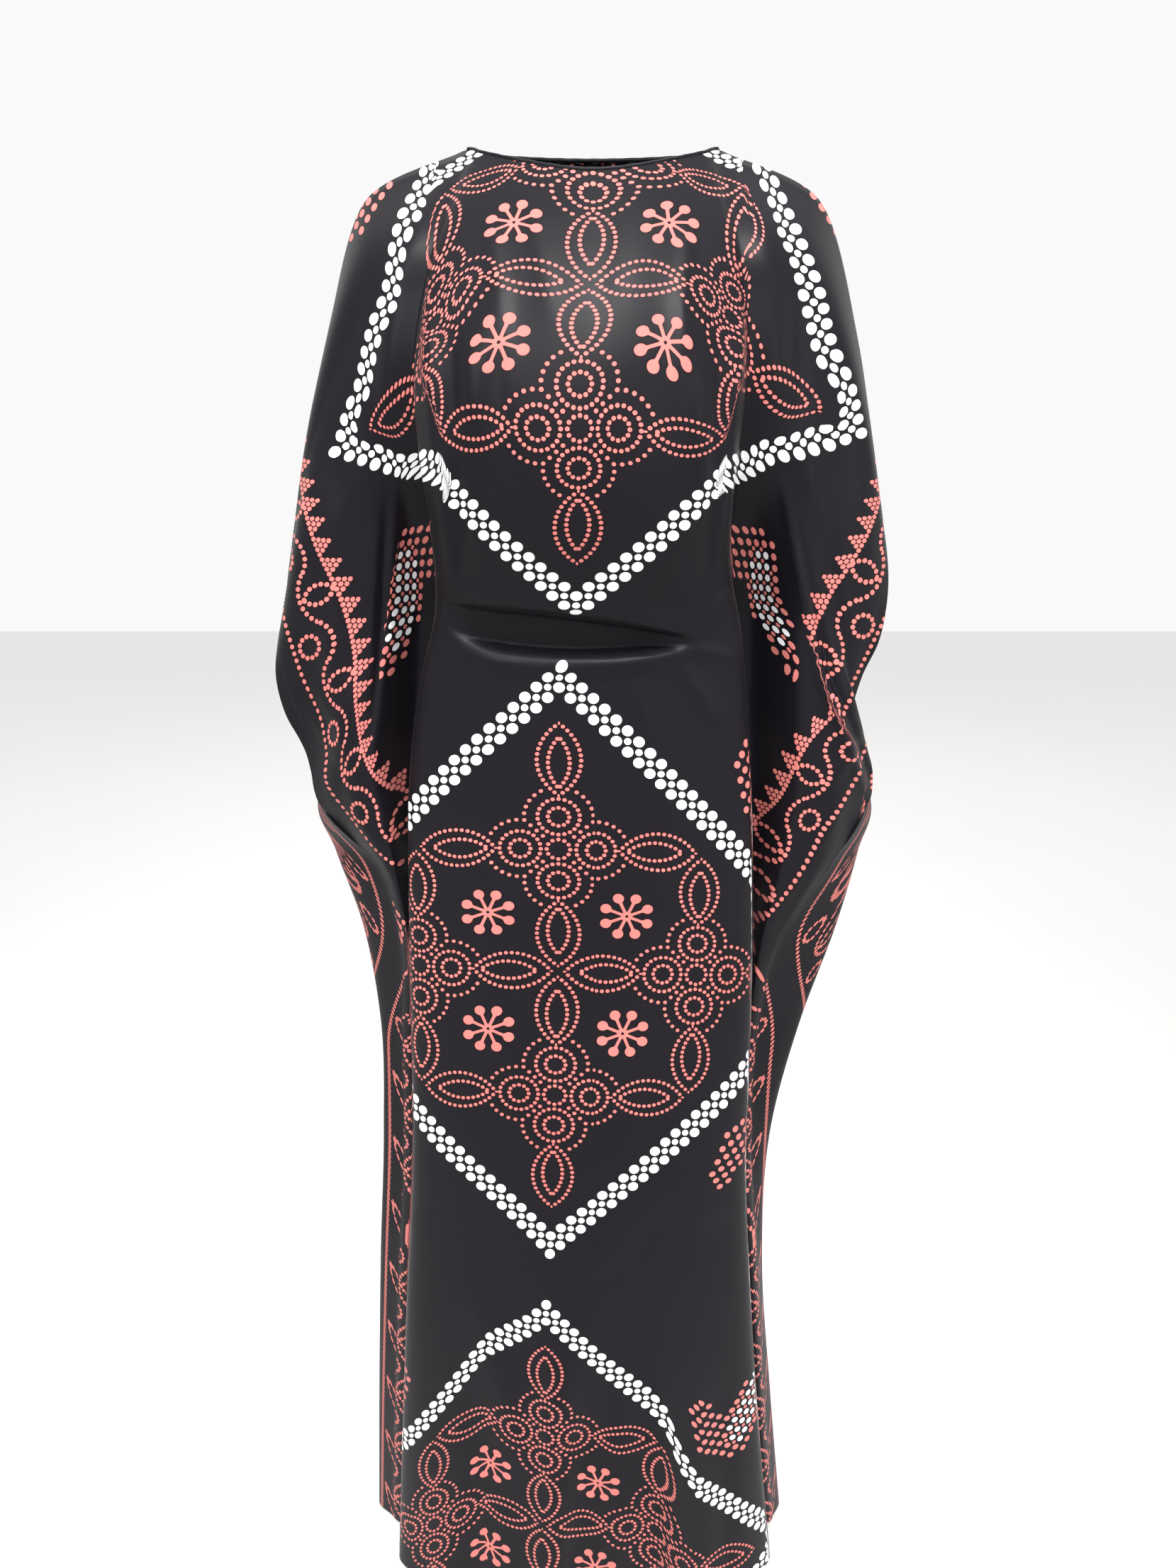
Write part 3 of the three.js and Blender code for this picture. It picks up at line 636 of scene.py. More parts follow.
def front_places(grid, sign, inner_pins, outer_pins):
    """U and V of one half of the front: the panel, then, past the fold beside it, the wing from
    its pins, with cloth hidden in the wing's own fold, and low down the side strip measured in
    from the seam."""
    x, z = np.abs(grid[..., 0]), grid[..., 2]
    panel_u, panel_v = panel_places(grid, sign)
    pinned_z = np.maximum(z, -SIDE_STRIP["pins_to"])
    wing_u, wing_v = bending_plate(inner_pins, x, pinned_z, STIFFNESS["wing"])
    outer_u, outer_v = bending_plate(outer_pins, x, pinned_z, STIFFNESS["wing"])
    fold = np.interp(-z, -WING_FOLD[sign]["z"], WING_FOLD[sign]["x"])
    past = smooth((x - fold) / 3 + 0.5)
    wing_u, wing_v = wing_u + past * (outer_u - wing_u), wing_v + past * (outer_v - wing_v)
    along = arc_out(grid)
    low = low_share(z)
    wing_u = wing_u + low * (EDGE_U - (along[:, -1:] - along) - wing_u)
    wing_v = wing_v + low * (panel_v - LOW_LAG - wing_v)
    jump = np.interp(-z, -JUMP["z"], JUMP["left" if sign < 0 else "right"])
    to_wing = smooth((x - jump) / 5 + 0.5)
    return panel_u + to_wing * (wing_u - panel_u), panel_v + to_wing * (wing_v - panel_v)


def back_places(grid, pins):
    """U and V of one half of the back: arc lengths across and down; the wing starts at the
    shoulder from the same pins as the front's and turns with the hang of the sleeve."""
    x, z, b = np.abs(grid[..., 0]), grid[..., 2], BACK_WING
    edge, _, fold_out = np.cumsum(STRIPS_ACROSS)[:3]
    columns = np.arange(grid.shape[1])
    down = arc_out(grid.transpose(1, 0, 2)).T
    along = arc_out(grid)
    panel_v = b["start"] - down
    top_u, top_v = bending_plate(pins, x[:1], z[:1], STIFFNESS["wing"])
    turn = np.radians(b["turn"]) * smooth((columns - fold_out) / b["turn_over"])
    wing_u = top_u + down * np.sin(turn)
    low_u = SEAM_U + (along[:, -1:] - along) + low_share(z) * (EDGE_U - SEAM_U)
    wing_u = wing_u + smooth(down / b["reach"]) * (low_u - wing_u)
    wing_v = top_v - np.minimum(down, b["reach"]) * np.cos(turn) - np.maximum(down - b["reach"], 0)
    wing_v = wing_v + smooth((down - b["settle"]) / b["settle_over"]) * (panel_v - wing_v)
    to_wing = smooth((columns - (edge + fold_out) / 2) / 3 + 0.5)
    return along + to_wing * (wing_u - along), panel_v + to_wing * (wing_v - panel_v)


def whole_print(grid, face):
    """U and V of a whole sheet, as an array (row, column, 2) in metres."""
    halves = []
    for sign, top, inner, outer in ((-1, LEFT_TOP, LEFT_INNER, LEFT_OUTER),
                                    (1, RIGHT_TOP, RIGHT_INNER, RIGHT_OUTER)):
        inner, outer = wing_pins(top, inner), wing_pins(top, outer)
        part = grid[:, MIDDLE_COLUMN::-1] if sign < 0 else grid[:, MIDDLE_COLUMN:]
        u, v = front_places(part, sign, inner, outer) if face < 0 else back_places(part, outer)
        halves.append(np.stack([sign * u, v], -1))
    return np.concatenate([halves[0][:, ::-1], halves[1][:, 1:]], 1) * MM


front_print, back_print = whole_print(front_grid, -1), whole_print(back_grid, 1)
print("print on the front: V", np.round(front_print[..., 1].min(), 2), "to",
      np.round(front_print[..., 1].max(), 2), "m")

# %% [markdown]
# ## Thin sheets
# Each sheet is a closed shell 0.6 mm thick on the outer half of its solid wall: an outer layer, an
# inner layer facing the wearer, and a strip round all four edges, so that it is a real object
# from inside too. Points are laid out as whole arrays and joined by index arithmetic.

# %% Shell from a grid
OUTER, INNER = 1.0, 0.4  # the two layers, out from the middle of the solid wall


def shell_faces(rows, columns, face):
    """Quads of a closed shell: outer layer, inner layer turned round, and the four edge strips."""
    index = np.arange(rows * columns).reshape(rows, columns)
    inner = index + rows * columns

    def quads(a, b, c, d):
        return np.stack([a, b, c, d], -1).reshape(-1, 4)

    parts = [
        quads(index[:-1, :-1], index[:-1, 1:], index[1:, 1:], index[1:, :-1]),
        quads(inner[:-1, :-1], inner[1:, :-1], inner[1:, 1:], inner[:-1, 1:]),
        quads(index[0, :-1], inner[0, :-1], inner[0, 1:], index[0, 1:]),
        quads(index[-1, :-1], index[-1, 1:], inner[-1, 1:], inner[-1, :-1]),
        quads(index[:-1, 0], index[1:, 0], inner[1:, 0], inner[:-1, 0]),
        quads(index[:-1, -1], inner[:-1, -1], inner[1:, -1], index[1:, -1]),
    ]
    faces = np.concatenate(parts)
    return faces[:, ::-1] if face < 0 else faces


def new_piece(name, points, faces, material=None, smooth_shade=True):
    """A mesh object from arrays of points in metres and of faces, linked and shaded."""
    mesh = bpy.data.meshes.new(name)
    mesh.vertices.add(len(points))
    mesh.vertices.foreach_set("co", np.asarray(points, np.float32).ravel())
    faces = np.asarray(faces, np.int32)
    mesh.loops.add(faces.size)
    mesh.loops.foreach_set("vertex_index", faces.ravel())
    mesh.polygons.add(len(faces))
    mesh.polygons.foreach_set("loop_start", np.arange(len(faces), dtype=np.int32) * faces.shape[1])
    mesh.update(calc_edges=True)
    mesh.polygons.foreach_set("use_smooth", np.full(len(faces), smooth_shade))
    piece = bpy.data.objects.new(name, mesh)
    bpy.context.scene.collection.objects.link(piece)
    if material:
        mesh.materials.append(material)
    return piece


def new_sheet(name, grid, normals, face, places):
    """A thin closed sheet with its print places as a UV map and its own smooth normals."""
    rows, columns = grid.shape[:2]
    layers = [grid + OUTER * normals, grid + INNER * normals]
    points = np.concatenate([layer.reshape(-1, 3) for layer in layers]) * MM
    faces = shell_faces(rows, columns, face)
    piece = new_piece(name, points, faces)
    corner = np.tile(places.reshape(-1, 2), (2, 1))[faces.ravel()]
    layer = piece.data.uv_layers.new(name="print_places")
    layer.data.foreach_set("uv", corner.astype(np.float32).ravel())
    both_sides = np.concatenate([normals.reshape(-1, 3), -normals.reshape(-1, 3)])
    piece.data.normals_split_custom_set_from_vertices(both_sides.astype(np.float32))
    return piece


front = new_sheet("front_cloth", front_grid, front_normals, -1, front_print)
back = new_sheet("back_cloth", back_grid, back_normals, 1, back_print)
print("front_cloth:", len(front.data.polygons), "faces")

# %% [markdown]
# ## Shader arithmetic
# The ornament is a drawing made of round dots set out by rule: along circles, leaves and rows. Such
# a rule can be worked out in the material itself, so it stays sharp at any distance and needs no
# picture. A small class lets a formula be written as a formula: each plus, minus or minimum adds
# one Math node.


# %% Fields: numbers that vary over the cloth
class Field:
    """A shader socket with arithmetic. Each operation adds one Math node to the tree."""

    def __init__(self, tree, socket):
        self.tree, self.socket = tree, socket

    def math(self, kind, *others, clamp=False):
        node = self.tree.nodes.new("ShaderNodeMath")
        node.operation, node.use_clamp = kind, clamp
        for place, value in enumerate((self, *others)):
            if isinstance(value, Field):
                self.tree.links.new(value.socket, node.inputs[place])
            else:
                node.inputs[place].default_value = value
        return Field(self.tree, node.outputs[0])

    def __add__(self, other):
        return self.math("ADD", other)

    def __sub__(self, other):
        return self.math("SUBTRACT", other)

    def __rsub__(self, other):
        return self.math("MULTIPLY", -1.0).math("ADD", other)

    def __mul__(self, other):
        return self.math("MULTIPLY", other)

    def __truediv__(self, other):
        return self.math("DIVIDE", other)

    def abs(self):
        return self.math("ABSOLUTE")

    def least(self, *others):
        found = self
        for other in others:
            found = found.math("MINIMUM", other)
        return found

    def most(self, other):
        return self.math("MAXIMUM", other)

    def length(self, other):
        """Square root of the sum of both squares."""
        return (self * self + other * other).math("SQRT")

    def nearest(self, pitch, start=0.0):
        """The nearest of the places start, start + pitch, start + 2 pitch and so on."""
        return ((self - start) / pitch).math("ROUND") * pitch + start

    def unless(self, test):
        """Pushed far away wherever test is 1."""
        return test.math("MULTIPLY_ADD", 1000.0, self)

    def below(self, level):
        return self.math("LESS_THAN", level)

    def above(self, level):
        return self.math("GREATER_THAN", level)

    def inside(self, soft=0.25):
        """1 where the field is under zero and 0 outside, over a soft edge."""
        return self.math("MULTIPLY_ADD", -1.0 / soft, 0.5, clamp=True)


def new_group(name, inputs, outputs):
    """An empty shader node group with named inputs and outputs; gives the tree and its inputs."""
    tree = bpy.data.node_groups.new(name, "ShaderNodeTree")
    kinds = {"value": "NodeSocketFloat", "color": "NodeSocketColor", "vector": "NodeSocketVector"}
    for title, kind in inputs:
        tree.interface.new_socket(title, in_out="INPUT", socket_type=kinds[kind])
    for title, kind in outputs:
        tree.interface.new_socket(title, in_out="OUTPUT", socket_type=kinds[kind])
    source = tree.nodes.new("NodeGroupInput")
    return tree, {title: Field(tree, source.outputs[title]) for title, _ in inputs}


def close_group(tree, **results):
    """Links the results to the group's outputs."""
    end = tree.nodes.new("NodeGroupOutput")
    for title, field in results.items():
        tree.links.new(field.socket, end.inputs[title])


def place_group(tree, group, output, **values):
    """One use of a group in a tree; fields are linked, numbers are set."""
    node = tree.nodes.new("ShaderNodeGroup")
    node.node_tree = group
    for title, value in values.items():
        if isinstance(value, Field):
            tree.links.new(value.socket, node.inputs[title])
        else:
            node.inputs[title].default_value = value
    return Field(tree, node.outputs[output])


# %% A circle of dots
def make_dot_circle():
    """Distance to the nearest dot of a circle of evenly spaced dots: the angle is snapped to the
    nearest dot's angle, and the distance is taken to that dot's middle."""
    tree, given = new_group(
        "dot circle", [("X", "value"), ("Y", "value"), ("Radius", "value"), ("Dots", "value"),
                       ("Start", "value")], [("Distance", "value")])
    turn = given["Y"].math("ARCTAN2", given["X"]) * (0.5 / math.pi) * given["Dots"]
    dot = (turn - given["Start"]).math("ROUND") + given["Start"]
    angle = dot / given["Dots"] * (2 * math.pi)
    across = given["X"] - angle.math("COSINE") * given["Radius"]
    up = given["Y"] - angle.math("SINE") * given["Radius"]
    close_group(tree, Distance=across.length(up))
    return tree


DOT_CIRCLE = make_dot_circle()


def dot_circle(x, y, radius, dots, start=0.0):
    """A use of the dot circle group on two fields."""
    return place_group(x.tree, DOT_CIRCLE, "Distance", X=x, Y=y, Radius=radius, Dots=float(dots),
                       Start=start)


print("group:", DOT_CIRCLE.name, "with", len(DOT_CIRCLE.nodes), "nodes")

# %% [markdown]
# ## The ornament
# The pattern is a traditional kind, of the family of tie-dyed dots: a large diamond framed by two
# rows of white dots, and in it pink dotted rings and leaves set out four times round, with an
# eight-armed star in each quarter. Because it repeats by mirror, the coordinates are folded first:
# only one corner is drawn, and the folding repeats it. Paisleys stand in the gaps, and a border of
# teeth, a wavy vine, rings and drops runs along both edges of the cloth.

# %% Sizes of the ornament
DOT, RIM = 1.78, 0.32  # radius of a pink dot, and the dark red rim round it
BAND = {"pitch": 13.95, "big": 5.0, "small": 3.2}
CLUSTER = {"place": 129.0, "ring": 9.9, "pair": 32.6, "outer": 17.7, "inner": 9.0, "arc": 29.0}
LEAF = {"middle": 88.4, "half_length": 34.4, "half_width": 18.4, "dots": 50}
LEAF_IN = {"middle": 85.4, "half_length": 24.6, "half_width": 9.1, "dots": 48}
STAR = {"place": 61.5, "reach": 20.4, "bulb": 4.9, "arm": 1.4, "hub": 4.4, "hole": 1.5}
PAISLEY = {"u": 237.0, "w": 216.0, "lean": 29.0, "half_length": 77.0, "half_width": 25.5,
           "bend": 4.0, "pitch": 11.2, "dot": 3.6, "small": 2.2, "rim_from": 0.5}
HOOK = {"u": 181.0, "w": 200.0, "lean": -20.0, "half_length": 42.0, "half_width": 20.0,
        "hole": 0.05}
BORDER = {"teeth": 344.6, "tooth": 20.78, "base": 400.0, "period": REPEAT / 8, "ring": 383.0,
          "ring_radius": 10.2, "over": 24.0, "under_middle": 349.0, "under": 29.7,
          "meet": 367.8, "drop": 360.5, "drop_half": 14.0, "drop_wide": 8.5, "larger": 0.4}


def leaf(along, out, half_length, half_width, dots):
    """Dots round a pointed leaf, of which only the upper half is drawn, as the rest is folded onto
    it: an arc of a circle through both tips, of radius (l squared + w squared) / 2w."""
    radius = (half_length**2 + half_width**2) / (2 * half_width)
    return dot_circle(along, out + (radius - half_width), radius, dots, dots / 4 % 1)


# %% The inside of a diamond
def make_cluster():
    """Rings and leaves round one arm of the diamond, and their distance field."""
    tree, given = new_group("dotted cluster", [("U", "value"), ("W", "value")],
                            [("Distance", "value")])
    u, w = given["U"], given["W"]
    arm, side = u.most(w) - CLUSTER["place"], u.least(w)
    g, h = arm.abs().most(side), arm.abs().least(side)
    pair = g - CLUSTER["pair"]
    meet = dot_circle(pair, h, CLUSTER["arc"], 27, 0.324)
    low = h.below(12.5).most(pair.below(-7.0))
    diagonal, off = (g + h) * math.sqrt(0.5), (g - h) * math.sqrt(0.5)
    step = diagonal.nearest(7.37, 18.5).math("MINIMUM", 40.6).most(18.5)
    found = dot_circle(g, h, CLUSTER["ring"], 12).least(
        dot_circle(pair, h, CLUSTER["outer"], 22), dot_circle(pair, h, CLUSTER["inner"], 12),
        leaf(g - LEAF["middle"], h, LEAF["half_length"], LEAF["half_width"], LEAF["dots"]),
        leaf(g - LEAF_IN["middle"], h, LEAF_IN["half_length"], LEAF_IN["half_width"],
             LEAF_IN["dots"]),
        meet.unless(low), (diagonal - step).length(off))
    close_group(tree, Distance=found)
    return tree


CLUSTER_GROUP = make_cluster()
print("group:", CLUSTER_GROUP.name)


# %% The star
def make_star():
    """Signed distance to the star's edge: one arm, bulb and hub, repeated by folding the angle
    eight times, less a small hole at the middle."""
    tree, given = new_group("eight-armed star", [("X", "value"), ("Y", "value")],
                            [("Edge", "value")])
    x, y = given["X"], given["Y"]
    turn = y.math("ARCTAN2", x)
    from_arm = turn - turn.nearest(math.pi / 4, math.pi / 8)
    reach = x.length(y)
    along, off = reach * from_arm.math("COSINE"), (reach * from_arm.math("SINE")).abs()
    arm = (off - STAR["arm"]).most(along - STAR["reach"])
    bulb = (along - STAR["reach"]).length(off) - STAR["bulb"]
    body = arm.math("SMOOTH_MIN", bulb, 2.2).math("SMOOTH_MIN", reach - STAR["hub"], 2.2)
    close_group(tree, Edge=body.most(STAR["hole"] - reach))
    return tree


STAR_GROUP = make_star()
print("group:", STAR_GROUP.name)


# %% The white band
def make_band():
    """Signed distance to the white dots: two rows of large ones along the diamond's side, with a
    small one in the middle of every four."""
    tree, given = new_group("white band", [("U", "value"), ("W", "value")], [("Edge", "value")])
    pitch = BAND["pitch"]
    off = ((given["U"] + given["W"]) * math.sqrt(0.5) - HALF * math.sqrt(0.5)).abs()
    along = (given["U"] - given["W"]) * math.sqrt(0.5) - HALF * math.sqrt(0.5)
    to_big = (off - pitch / 2).length(along - along.nearest(pitch, pitch / 2)) - BAND["big"]
    to_small = off.length(along - along.nearest(pitch)) - BAND["small"]
    close_group(tree, Edge=to_big.least(to_small))
    return tree


BAND_GROUP = make_band()
print("group:", BAND_GROUP.name)


# %% The paisley
def make_paisley():
    """Signed distances to a paisley's pink and white dots. Dots stand on a square lattice along
    the paisley's own axis; each dot's middle is tested against a bent, tapering oval and against
    the shorter oval of the hook beside its head. The hook and the outermost dots are pink, the
    inner ones white with small pink ones between."""
    tree, given = new_group("paisley", [("U", "value"), ("W", "value")],
                            [("Pink", "value"), ("White", "value")])
    p, h = PAISLEY, HOOK

    def turned(across, up, degrees):
        """The same place along and off an axis that leans by so many degrees; its own inverse."""
        sine, cosine = math.sin(math.radians(degrees)), math.cos(math.radians(degrees))
        return across * sine + up * cosine, across * cosine - up * sine

    def body(along, off):
        """Under 1 inside the main oval."""
        share = along / p["half_length"]
        wide = (share * -0.22 + 1.0) * p["half_width"]
        bent = (off - share * share * p["bend"]) / wide
        return share * share + bent * bent

    def hook(along, off):
        """Under 1 inside the hook's oval."""
        across, up = turned(along, off, p["lean"])
        far, side = turned(across - (h["u"] - p["u"]), up - (h["w"] - p["w"]), h["lean"])
        far, side = far / h["half_length"], side / h["half_width"]
        return far * far + side * side

    along, off = turned(given["U"] - p["u"], given["W"] - p["w"], p["lean"])
    a, o = along.nearest(p["pitch"]), off.nearest(p["pitch"])
    in_body, in_hook, to_large = body(a, o), hook(a, o), (along - a).length(off - o) - p["dot"]
    a2, o2 = along.nearest(p["pitch"], p["pitch"] / 2), off.nearest(p["pitch"], p["pitch"] / 2)
    to_small = (along - a2).length(off - o2) - p["small"]
    rim = to_large.unless(in_body.above(1.0)).unless(in_body.below(p["rim_from"]))
    head = to_large.unless(in_hook.above(1.0)).unless(in_hook.below(h["hole"]))
    head = head.unless(in_body.below(1.0))
    small = to_small.unless(body(a2, o2).above(p["rim_from"]))
    close_group(tree, Pink=rim.least(head, small),
                White=to_large.unless(in_body.above(p["rim_from"])))
    return tree


PAISLEY_GROUP = make_paisley()
print("group:", PAISLEY_GROUP.name)


# %% The border
def make_border():
    """Distance to the border's dots: teeth of 4, 3, 2 and 1 dots, a vine that bends over a ring
    and under a drop in turn, and a straight base line."""
    tree, given = new_group("dotted border", [("U", "value"), ("V", "value")],
                            [("Distance", "value")])
    b, u, v = BORDER, given["U"], given["V"]
    step = b["tooth"] / 4
    row = ((b["teeth"] - u) / (step * 0.866)).math("ROUND").math("MINIMUM", 3.0).most(0.0)
    in_tooth = v - v.nearest(b["tooth"])
    start = (row * 0.5 + 0.5).math("FRACT") * step
    reach = (3.0 - row) * (step / 2)
    place = (((in_tooth - start) / step).math("ROUND") * step + start)
    place = place.math("MINIMUM", reach).most(reach * -1.0)
    teeth = (in_tooth - place).length((b["teeth"] - row * (step * 0.866)) - u)
    base = (u - b["base"]).length(v - v.nearest(b["period"] / 12))
    over_v = v - v.nearest(b["period"])
    under_v = v - v.nearest(b["period"], b["period"] / 2)
    over = dot_circle(b["ring"] - u, over_v, b["over"], 24).unless(u.above(b["meet"]))
    under = dot_circle(u - b["under_middle"], under_v, b["under"], 30).unless(
        u.below(b["meet"]))
    ring = dot_circle(u - b["ring"], over_v, b["ring_radius"], 12)
    drop = leaf(u - b["drop"], under_v.abs(), b["drop_half"], b["drop_wide"], 18)
    close_group(tree, Distance=teeth.least(base, over, under, ring, drop))
    return tree


BORDER_GROUP = make_border()
print("group:", BORDER_GROUP.name)


# %% The whole print
def make_print():
    """Folds the cloth's U and V and joins all motifs. Pink and White are masks, Rim is the dark
    red round the pink, and Ring the black line round everything."""
    tree, given = new_group("dotted print", [("Places", "vector")],
                            [("Pink", "value"), ("White", "value"), ("Rim", "value"),
                             ("Ring", "value"), ("Seam", "value")])
    split = tree.nodes.new("ShaderNodeSeparateXYZ")
    tree.links.new(given["Places"].socket, split.inputs[0])
    raw = (Field(tree, split.outputs[0]) * 1000.0).abs()
    v = Field(tree, split.outputs[1]) * 1000.0
    seam = raw - SEAM_U
    u = SEAM_U - seam.abs()
    w = (v - v.nearest(REPEAT, FIRST)).abs()
    small = place_group(tree, CLUSTER_GROUP, "Distance", U=u, W=w).least(
        place_group(tree, BORDER_GROUP, "Distance", U=u, V=v - FIRST) - BORDER["larger"]) - DOT
    star = place_group(tree, STAR_GROUP, "Edge", X=u - STAR["place"], Y=w - STAR["place"])
    paisley = place_group(tree, PAISLEY_GROUP, "Pink", U=u, W=w)
    pink = small.least(star, paisley)
    white = place_group(tree, BAND_GROUP, "Edge", U=u, W=w).least(
        place_group(tree, PAISLEY_GROUP, "White", U=u, W=w))
    close_group(tree, Pink=pink.inside(), White=white.inside(), Rim=(pink - RIM).inside(),
                Ring=pink.math("SUBTRACT", 0.3).least(white).math("SUBTRACT", 0.55).inside(),
                Seam=(seam.abs() - 0.7).inside(0.6))
    return tree


PRINT_GROUP = make_print()
print("group:", PRINT_GROUP.name, "with", len(PRINT_GROUP.nodes), "nodes")

# %% [markdown]
# ## Satin
# Satin is woven so that long threads float over the face: it is nearly smooth, with a soft broad
# shine rather than a mirror, and the faintest ribs along the cloth. Polyester satin is dyed black
# and the ornament is printed on it, so the ink takes some of the shine away. The weave group gives
# a height for the bump and a small change of roughness; the gloss itself is set on the shader.


# %% The weave
def make_weave():
    """Fine ribs across the thread direction, broken up by noise stretched along it, and broad
    soft patches where the cloth was handled."""
    tree, given = new_group("satin weave", [("Places", "vector"), ("Object", "vector")],
                            [("Height", "value"), ("Patches", "value")])

    def noise(vector, scale, detail, stretch):
        mapping = tree.nodes.new("ShaderNodeMapping")
        mapping.inputs["Scale"].default_value = stretch
        node = tree.nodes.new("ShaderNodeTexNoise")
        node.inputs["Scale"].default_value = scale
        node.inputs["Detail"].default_value = detail
        tree.links.new(vector.socket, mapping.inputs["Vector"])
        tree.links.new(mapping.outputs[0], node.inputs["Vector"])
        return Field(tree, node.outputs[0])

    threads = noise(given["Places"], 900.0, 2.0, (1.0, 0.12, 1.0))
    slubs = noise(given["Places"], 160.0, 2.0, (1.0, 0.05, 1.0))
    patches = noise(given["Object"], 9.0, 3.0, (1.0, 1.0, 0.6))
    close_group(tree, Height=threads * 0.6 + slubs * 0.4, Patches=patches)
    return tree


WEAVE_GROUP = make_weave()
BLACK = (0.0050, 0.0043, 0.0062, 1)
PATCH_BLACK = (0.0078, 0.0068, 0.0098, 1)
INK = {"pink": (0.56, 0.15, 0.135, 1), "pale_pink": (0.68, 0.235, 0.205, 1),
       "white": (0.84, 0.84, 0.855, 1), "rim": (0.085, 0.004, 0.008, 1),
       "ring": (0.0015, 0.0012, 0.0016, 1)}


def mix_color(tree, factor, a, b):
    """a where factor is 0 and b where it is 1; each a colour or a socket."""
    node = tree.nodes.new("ShaderNodeMix")
    node.data_type = "RGBA"
    tree.links.new(factor, node.inputs["Factor"])
    for value, socket in ((a, node.inputs[6]), (b, node.inputs[7])):
        if isinstance(value, tuple):
            socket.default_value = value
        else:
            tree.links.new(value, socket)
    return node.outputs[2]


def new_material(name):
    """A material with its node tree and its shader node."""
    material = bpy.data.materials.new(name)
    material.use_nodes = True
    return material, material.node_tree, material.node_tree.nodes["Principled BSDF"]


def satin_material(name, printed):
    """Black satin; with the print where asked."""
    material, tree, shader = new_material(name)
    places = tree.nodes.new("ShaderNodeUVMap")
    places.uv_map = "print_places"
    where = Field(tree, places.outputs[0])
    position = Field(tree, tree.nodes.new("ShaderNodeTexCoord").outputs["Object"])
    weave = {out: place_group(tree, WEAVE_GROUP, out, Places=where, Object=position)
             for out in ("Height", "Patches")}
    color = mix_color(tree, weave["Patches"].socket, BLACK, PATCH_BLACK)
    rough = weave["Patches"] * 0.10 + 0.40
    height = weave["Height"]
    if printed:
        node = tree.nodes.new("ShaderNodeGroup")
        node.node_tree = PRINT_GROUP
        tree.links.new(where.socket, node.inputs["Places"])
        mask = {out: node.outputs[out] for out in ("Pink", "White", "Rim", "Ring", "Seam")}
        pink = mix_color(tree, weave["Patches"].socket, INK["pink"], INK["pale_pink"])
        color = mix_color(tree, mask["Ring"], color, INK["ring"])
        color = mix_color(tree, mask["Rim"], color, INK["rim"])
        color = mix_color(tree, mask["Pink"], color, pink)
        color = mix_color(tree, mask["White"], color, INK["white"])
        rough = Field(tree, mask["Pink"]).most(Field(tree, mask["White"])) * 0.16 + rough
        height = height - Field(tree, mask["Seam"]) * 3.0
    bump = tree.nodes.new("ShaderNodeBump")
    bump.inputs["Strength"].default_value = 0.10
    bump.inputs["Distance"].default_value = 0.0004
    tree.links.new(height.socket, bump.inputs["Height"])
    tree.links.new(color, shader.inputs["Base Color"])
    tree.links.new(rough.socket, shader.inputs["Roughness"])
    tree.links.new(bump.outputs[0], shader.inputs["Normal"])
    shader.inputs["Specular IOR Level"].default_value = 0.14
    shader.inputs["Sheen Weight"].default_value = 0.02
    shader.inputs["Sheen Roughness"].default_value = 0.35
    return material


printed_satin = satin_material("printed_satin", True)
plain_satin = satin_material("plain_satin", False)
for sheet in (front, back):
    sheet.data.materials.append(printed_satin)
print("materials:", printed_satin.name, "and", plain_satin.name)

# %% [markdown]
# ## The neck's rolled edge
# The neck hole is finished with a narrow rolled edge of the same satin. It is a round cord of
# cloth carried along the edge of the hole, standing on the cut edge of both sheets.

# %% Sweep the rolled edge
ROLL = {"radius": 1.9, "gap": 0.3, "sides": 16}


def neck_ring():
    """The hole's edge points, front left to right and back again, and the way up out of them."""
    m, n = MIDDLE_COLUMN, NECK_COLUMN
    edge = np.concatenate([front_grid[0, m - n:m + n + 1], back_grid[0, m + n - 1:m - n:-1]])
    below = np.concatenate([front_grid[4, m - n:m + n + 1], back_grid[4, m + n - 1:m - n:-1]])
    rise = edge - below
    rise /= np.linalg.norm(rise, axis=-1, keepdims=True)
    return edge, rise


def ease(values, times):
    """A closed ring of values, averaged with its neighbours a number of times."""
    for _ in range(times):
        values = (np.roll(values, 1, 0) + 2 * values + np.roll(values, -1, 0)) / 4
    return values


def sweep_ring(centres, rise, radius, sides, twist=0.0):
    """A closed tube of round section; `twist` varies the radius slightly, as rolled cloth does."""
    along = np.roll(centres, -1, 0) - np.roll(centres, 1, 0)
    along /= np.linalg.norm(along, axis=-1, keepdims=True)
    up = rise - (rise * along).sum(-1, keepdims=True) * along
    up /= np.linalg.norm(up, axis=-1, keepdims=True)
    side = np.cross(along, up)
    count = len(centres)
    turn = np.linspace(0, 2 * np.pi, sides, endpoint=False)
    ripple = 1 + twist * np.cos(turn[None] + np.arange(count)[:, None] * 0.9)
    offset = (up[:, None] * np.cos(turn)[None, :, None]
              + side[:, None] * np.sin(turn)[None, :, None])
    points = centres[:, None] + radius * ripple[..., None] * offset
    index = np.arange(count * sides).reshape(count, sides)
    ahead, beside = np.roll(index, -1, 0), np.roll(index, -1, 1)
    faces = np.stack([index, beside, np.roll(ahead, -1, 1), ahead], -1).reshape(-1, 4)
    return points.reshape(-1, 3), faces


ring_edge, ring_rise = neck_ring()
ring_rise = ease(ring_rise, 12)
ring_centre = ease(ring_edge, 3) + ring_rise * (ROLL["radius"] + ROLL["gap"])
roll_points, roll_faces = sweep_ring(ring_centre, ring_rise, ROLL["radius"], ROLL["sides"], 0.05)
rolled_edge = new_piece("rolled_neck_edge", roll_points * MM, roll_faces, plain_satin)
print("rolled edge:", len(roll_faces), "faces")

